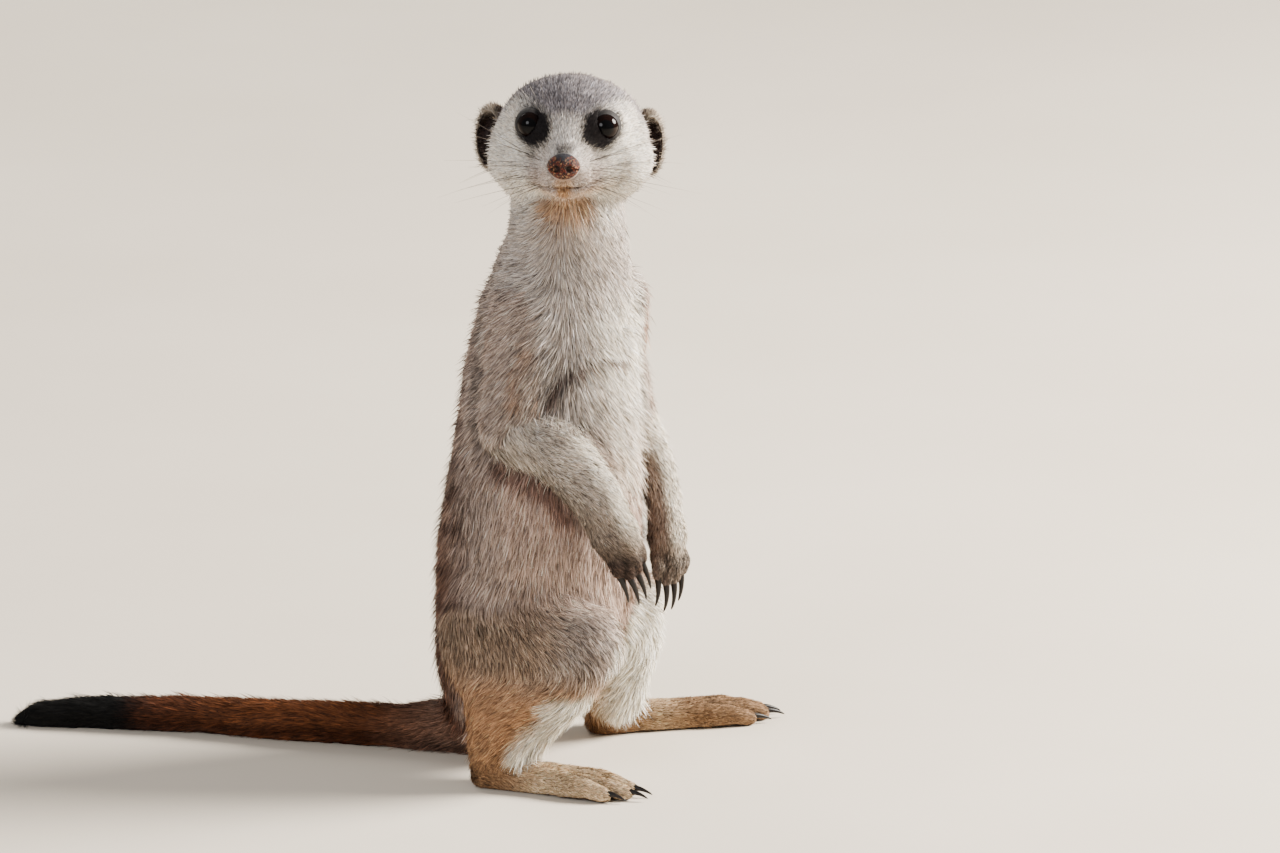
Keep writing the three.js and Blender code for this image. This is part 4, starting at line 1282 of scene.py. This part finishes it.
def nose_tone(v):
    """Dark leather with a reddish crust and pale specks, a bluish top and black nostrils."""
    local = in_head(v) - NOSE
    top = smooth(1.9, 3.4, local[:, 2] - 0.45 * np.abs(local[:, 1]) + 0.3 + noise(v / 0.9, 41) * 1.1)
    hole = smooth(1.9, 1.0, np.minimum(*(norm(local - vec(3.7, s * 2.5, -0.5)) for s in (-1, 1))))
    speck = noise(v / 0.55, 42) + 0.7 * noise(v / 0.3, 43)
    open_skin = (1 - hole) * (1 - top)
    crust = smooth(0.05, 0.5, speck + 0.3 * noise(v / 2.0, 44)) * open_skin
    pale = smooth(0.36, 0.62, noise(v / 0.4, 45)) * open_skin
    blue = linear("1c2029") * (1 + 0.5 * noise(v / 0.5, 46))[:, None]
    tone = linear("3a1712")
    for colour, share in (
        (linear("1a1012"), smooth(0.1, -0.5, speck)), (linear("6e2a18"), crust * 0.9),
        (linear("d0a070"), pale * 0.6), (blue, top * 0.9),
    ):
        tone = tone + (colour - tone) * share[:, None]
    return tone * 0.85 * (1 - 0.85 * hole[:, None])


h = 0.24
centre = HEAD + AXES.T @ NOSE
lines = [np.arange(centre[i] - 7.4, centre[i] + 7.4, h) for i in range(3)]
v, q = surface_nets(lines, nose_level(np.stack(np.meshgrid(*lines, indexing="ij"), -1)))
v = relax(v, q)
for _ in range(2):
    v = v - unit(gradient(nose_level, v)) * np.clip(nose_level(v), -0.2, 0.2)[:, None]
leather = painted("nose_leather", (0.42, 0.7), 0.3, 0.8, 2600, Specular_IOR_Level=0.25)
nose = mesh_object("nose_leather", v, q, leather, nose_tone(v), normals=unit(gradient(nose_level, v)))
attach(nose, "root")
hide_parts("nose")

# ---------------------------------------------------------------- claws
horn = Nodes("claw_horn", Specular_IOR_Level=0.28)
grain = horn.noise(500, 4, 0.6, horn.stretched((1, 1, 3)))
horn_colour = horn.ramp(grain, (0.3, linear("060404")), (0.62, linear("0f0a08")), (0.85, linear("231711")))
horn.finish(horn_colour, horn.range(grain, 0.28, 0.5, 0.3, 0.7), grain, 0.35, 0.0002)
CLAW_RINGS, CLAW_ROUND = 16, 14


def claw(base, toward, down, length, radius, curl):
    """The points of a claw that bends down as it narrows, flatter beneath."""
    t = np.linspace(-0.06, 1, CLAW_RINGS)
    a = curl * t
    path = base + length * (np.outer(np.sin(a), toward) + np.outer(1 - np.cos(a), down)) / curl
    heading = np.outer(np.cos(a), toward) + np.outer(np.sin(a), down)
    side = unit(np.cross(toward, down))
    point = np.where(t > 0.9, np.sqrt(np.clip((1 - t) / 0.1, 0, 1)) * 0.9 + 0.1, 1)
    r = (radius * (1 - 0.8 * np.clip(t, 0, 1)) * point)[:, None]
    up = unit(np.cross(heading, side))
    b = np.arange(CLAW_ROUND) * 2 * math.pi / CLAW_ROUND
    flat = np.where(np.sin(b) * np.sign(up @ down)[:, None] > 0, 0.82, 1.0)
    v = path[:, None] + side * (r * 0.88 * np.cos(b))[..., None]
    v = v + up[:, None] * (r * flat * np.sin(b))[..., None]
    return np.concatenate([v.reshape(-1, 3), [path[0], path[-1] + heading[-1] * r[-1] * 0.6]])


for paw, rows in CLAWS.items():
    length, radius, curl = FORE_CLAW if paw.startswith("fore") else HIND_CLAW
    v = np.concatenate([claw(*row, length, radius, math.radians(curl)) for row in rows])
    v[:, 2] = np.maximum(v[:, 2], 0.05)
    first = (np.arange(len(rows)) * (CLAW_RINGS * CLAW_ROUND + 2))[:, None, None]
    quads = (first + between_rings(CLAW_RINGS, CLAW_ROUND)[:, [0, 3, 2, 1]]).reshape(-1, 4)
    caps = (first + end_fans(CLAW_RINGS, CLAW_ROUND)[:, [0, 2, 1]]).reshape(-1, 3)
    ob = mesh_object("claws_" + paw, v, corners_of(quads, caps), horn.material)
    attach(ob, "root")
    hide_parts(*("claw_" + paw + "_" + str(i) for i in (1, 2, 3, 4)))

# ---------------------------------------------------------------- whiskers
bristle = painted("whisker", (0.35, 0.5), 0.05, 0.05, 2000)
WHISKER_RINGS = 9
whisker_verts, whisker_tones = [], []


def whisker(start, direction, length, sag, radius, dark="1d1613", end="b7aa9b"):
    """A three-sided bristle that droops and grows paler to its end."""
    t = np.linspace(0, 1, WHISKER_RINGS)
    d = unit(direction)
    path = start + np.outer(t * length, d) + np.outer(t**2 * sag, vec(0, 0, -1))
    e1 = unit(np.cross(d, vec(0, 0, 1)))
    b = (np.arange(3) * 2 * math.pi / 3)[:, None]
    ring = np.cos(b) * e1 + np.sin(b) * np.cross(d, e1)
    v = path[:, None] + radius * (1 - 0.85 * t)[:, None, None] * ring
    whisker_verts.append(v.reshape(-1, 3))
    tones = linear(dark) + (linear(end) - linear(dark)) * smooth(0.25, 1.0, t)[:, None]
    whisker_tones.append(np.repeat(tones, 3, axis=0))


def on_skin(p, heading):
    """The skin point where a line from p along heading leaves the head."""
    points = p + np.outer(np.linspace(0, 26, 131), unit(heading))
    inside = np.nonzero(level_of(points) < 0)[0]
    return points[inside.max() if len(inside) else 0]


f, l, u = AXES
for s in (-1, 1):
    for row in range(4):
        for col in range(4):
            start = on_skin(at_head(27 - col * 3.0, 0, -8.2 - row * 2.0), l * s + u * (0.25 - 0.14 * row))
            d = l * s + f * (0.2 - 0.16 * col) + u * (0.34 - 0.24 * row) + rng.normal(0, 0.07, 3)
            whisker(start, d, (17 + 5 * col) * rng.uniform(0.8, 1.15), rng.uniform(0.5, 4.0), 0.14)
    for k in range(3):  # above the eye
        start = on_skin(at_head(8, s * (9 + 2 * k), 2), u + f * 0.5)
        d = u * 0.9 + l * s * (0.25 + 0.15 * k) + f * 0.35 + rng.normal(0, 0.05, 3)
        whisker(start, d, rng.uniform(7, 11), 0.4, 0.1)
    for k in range(2):  # cheek
        start = on_skin(at_head(4 - 3 * k, s * 8, -13), l * s)
        d = l * s + f * 0.1 - u * 0.35 + rng.normal(0, 0.06, 3)
        whisker(start, d, rng.uniform(12, 16), 1.5, 0.11)
for k in range(7):  # chin
    start = on_skin(at_head(16 + rng.uniform(-3, 5), rng.uniform(-4, 4), -12), f * 0.2 - u)
    d = f * rng.uniform(0, 0.5) + l * rng.uniform(-0.3, 0.3) - u
    whisker(start, d, rng.uniform(4, 9), 0, 0.09, "6e5a44", "e8d8b8")
for x, length, turn in ((-5, 13, -0.1), (1, 17, 0.25), (3, 14, 0.42), (-1.5, 11, 0.1), (6, 11, 0.5)):
    start = on_skin(at_head(13, x, -12), f * 0.2 - u)  # long straw bristles on the throat
    whisker(start, f * 0.42 + l * turn - u, length, 0.5, 0.13, "b08a5c", "f3e6c8")
first = (np.arange(len(whisker_verts)) * WHISKER_RINGS * 3)[:, None, None]
quads = (first + between_rings(WHISKER_RINGS, 3)[:, [0, 3, 2, 1]]).reshape(-1, 4)
ob = mesh_object("whiskers", np.concatenate(whisker_verts), quads, bristle, np.concatenate(whisker_tones))
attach(ob, "root")

# ---------------------------------------------------------------- floor, light, camera
ground = Nodes("floor")
g = ground.noise(3, 4)
ground_colour = ground.ramp(g, (0.3, linear("cfc5b6")), (0.7, linear("d8cfc1")))
ground.finish(ground_colour, ground.range(g, 0.82, 0.92), ground.noise(300, 3), 0.05, 0.0005)
FLOOR_R = 30000
turn = np.arange(64) * 2 * math.pi / 64
disc = np.stack([FLOOR_R * np.cos(turn), FLOOR_R * np.sin(turn), 0 * turn], 1)
floor = mesh_object("floor", disc, np.arange(64)[None], ground.material)

world = bpy.data.worlds.new("studio")
bpy.context.scene.world = world
world.use_nodes = True
world.node_tree.nodes["Background"].inputs[0].default_value = (1.0, 0.96, 0.9, 1)
world.node_tree.nodes["Background"].inputs[1].default_value = 0.34


def lamp(name, at, size, power, colour, target=(0, 0, 0.14)):
    """A round area lamp, aimed at the animal."""
    data = bpy.data.lights.new(name, "AREA")
    data.shape, data.size, data.energy, data.color = "DISK", size, power, colour
    ob = bpy.data.objects.new(name, data)
    bpy.context.scene.collection.objects.link(ob)
    ob.location = at
    ob.rotation_euler = (Vector(target) - Vector(at)).to_track_quat("-Z", "Y").to_euler()


lamp("key", (1.7, 0.25, 1.1), 0.9, 215, (1.0, 0.93, 0.84))
lamp("fill", (-1.3, -1.9, 1.3), 1.1, 36, (0.97, 0.97, 1.0))
lamp("back", (-0.9, 1.7, 1.3), 1.2, 20, (1.0, 0.95, 0.88))

elevation = math.radians(15)
back = vec(0, -math.cos(elevation), math.sin(elevation))
aim = (vec(30.8, 0, 0) + vec(0, math.sin(elevation), math.cos(elevation)) * 127.12 + MOVE) * MM
cam_data = bpy.data.cameras.new("camera")
cam_data.sensor_width = 36
cam_data.lens = 36 * 13000 / 1280
cam_data.clip_start, cam_data.clip_end = 0.5, 60
cam = bpy.data.objects.new("camera", cam_data)
bpy.context.scene.collection.objects.link(cam)
cam.location = (aim + back * 5.0).tolist()
cam.rotation_euler = Vector((-back).tolist()).to_track_quat("-Z", "Y").to_euler()
bpy.context.scene.camera = cam
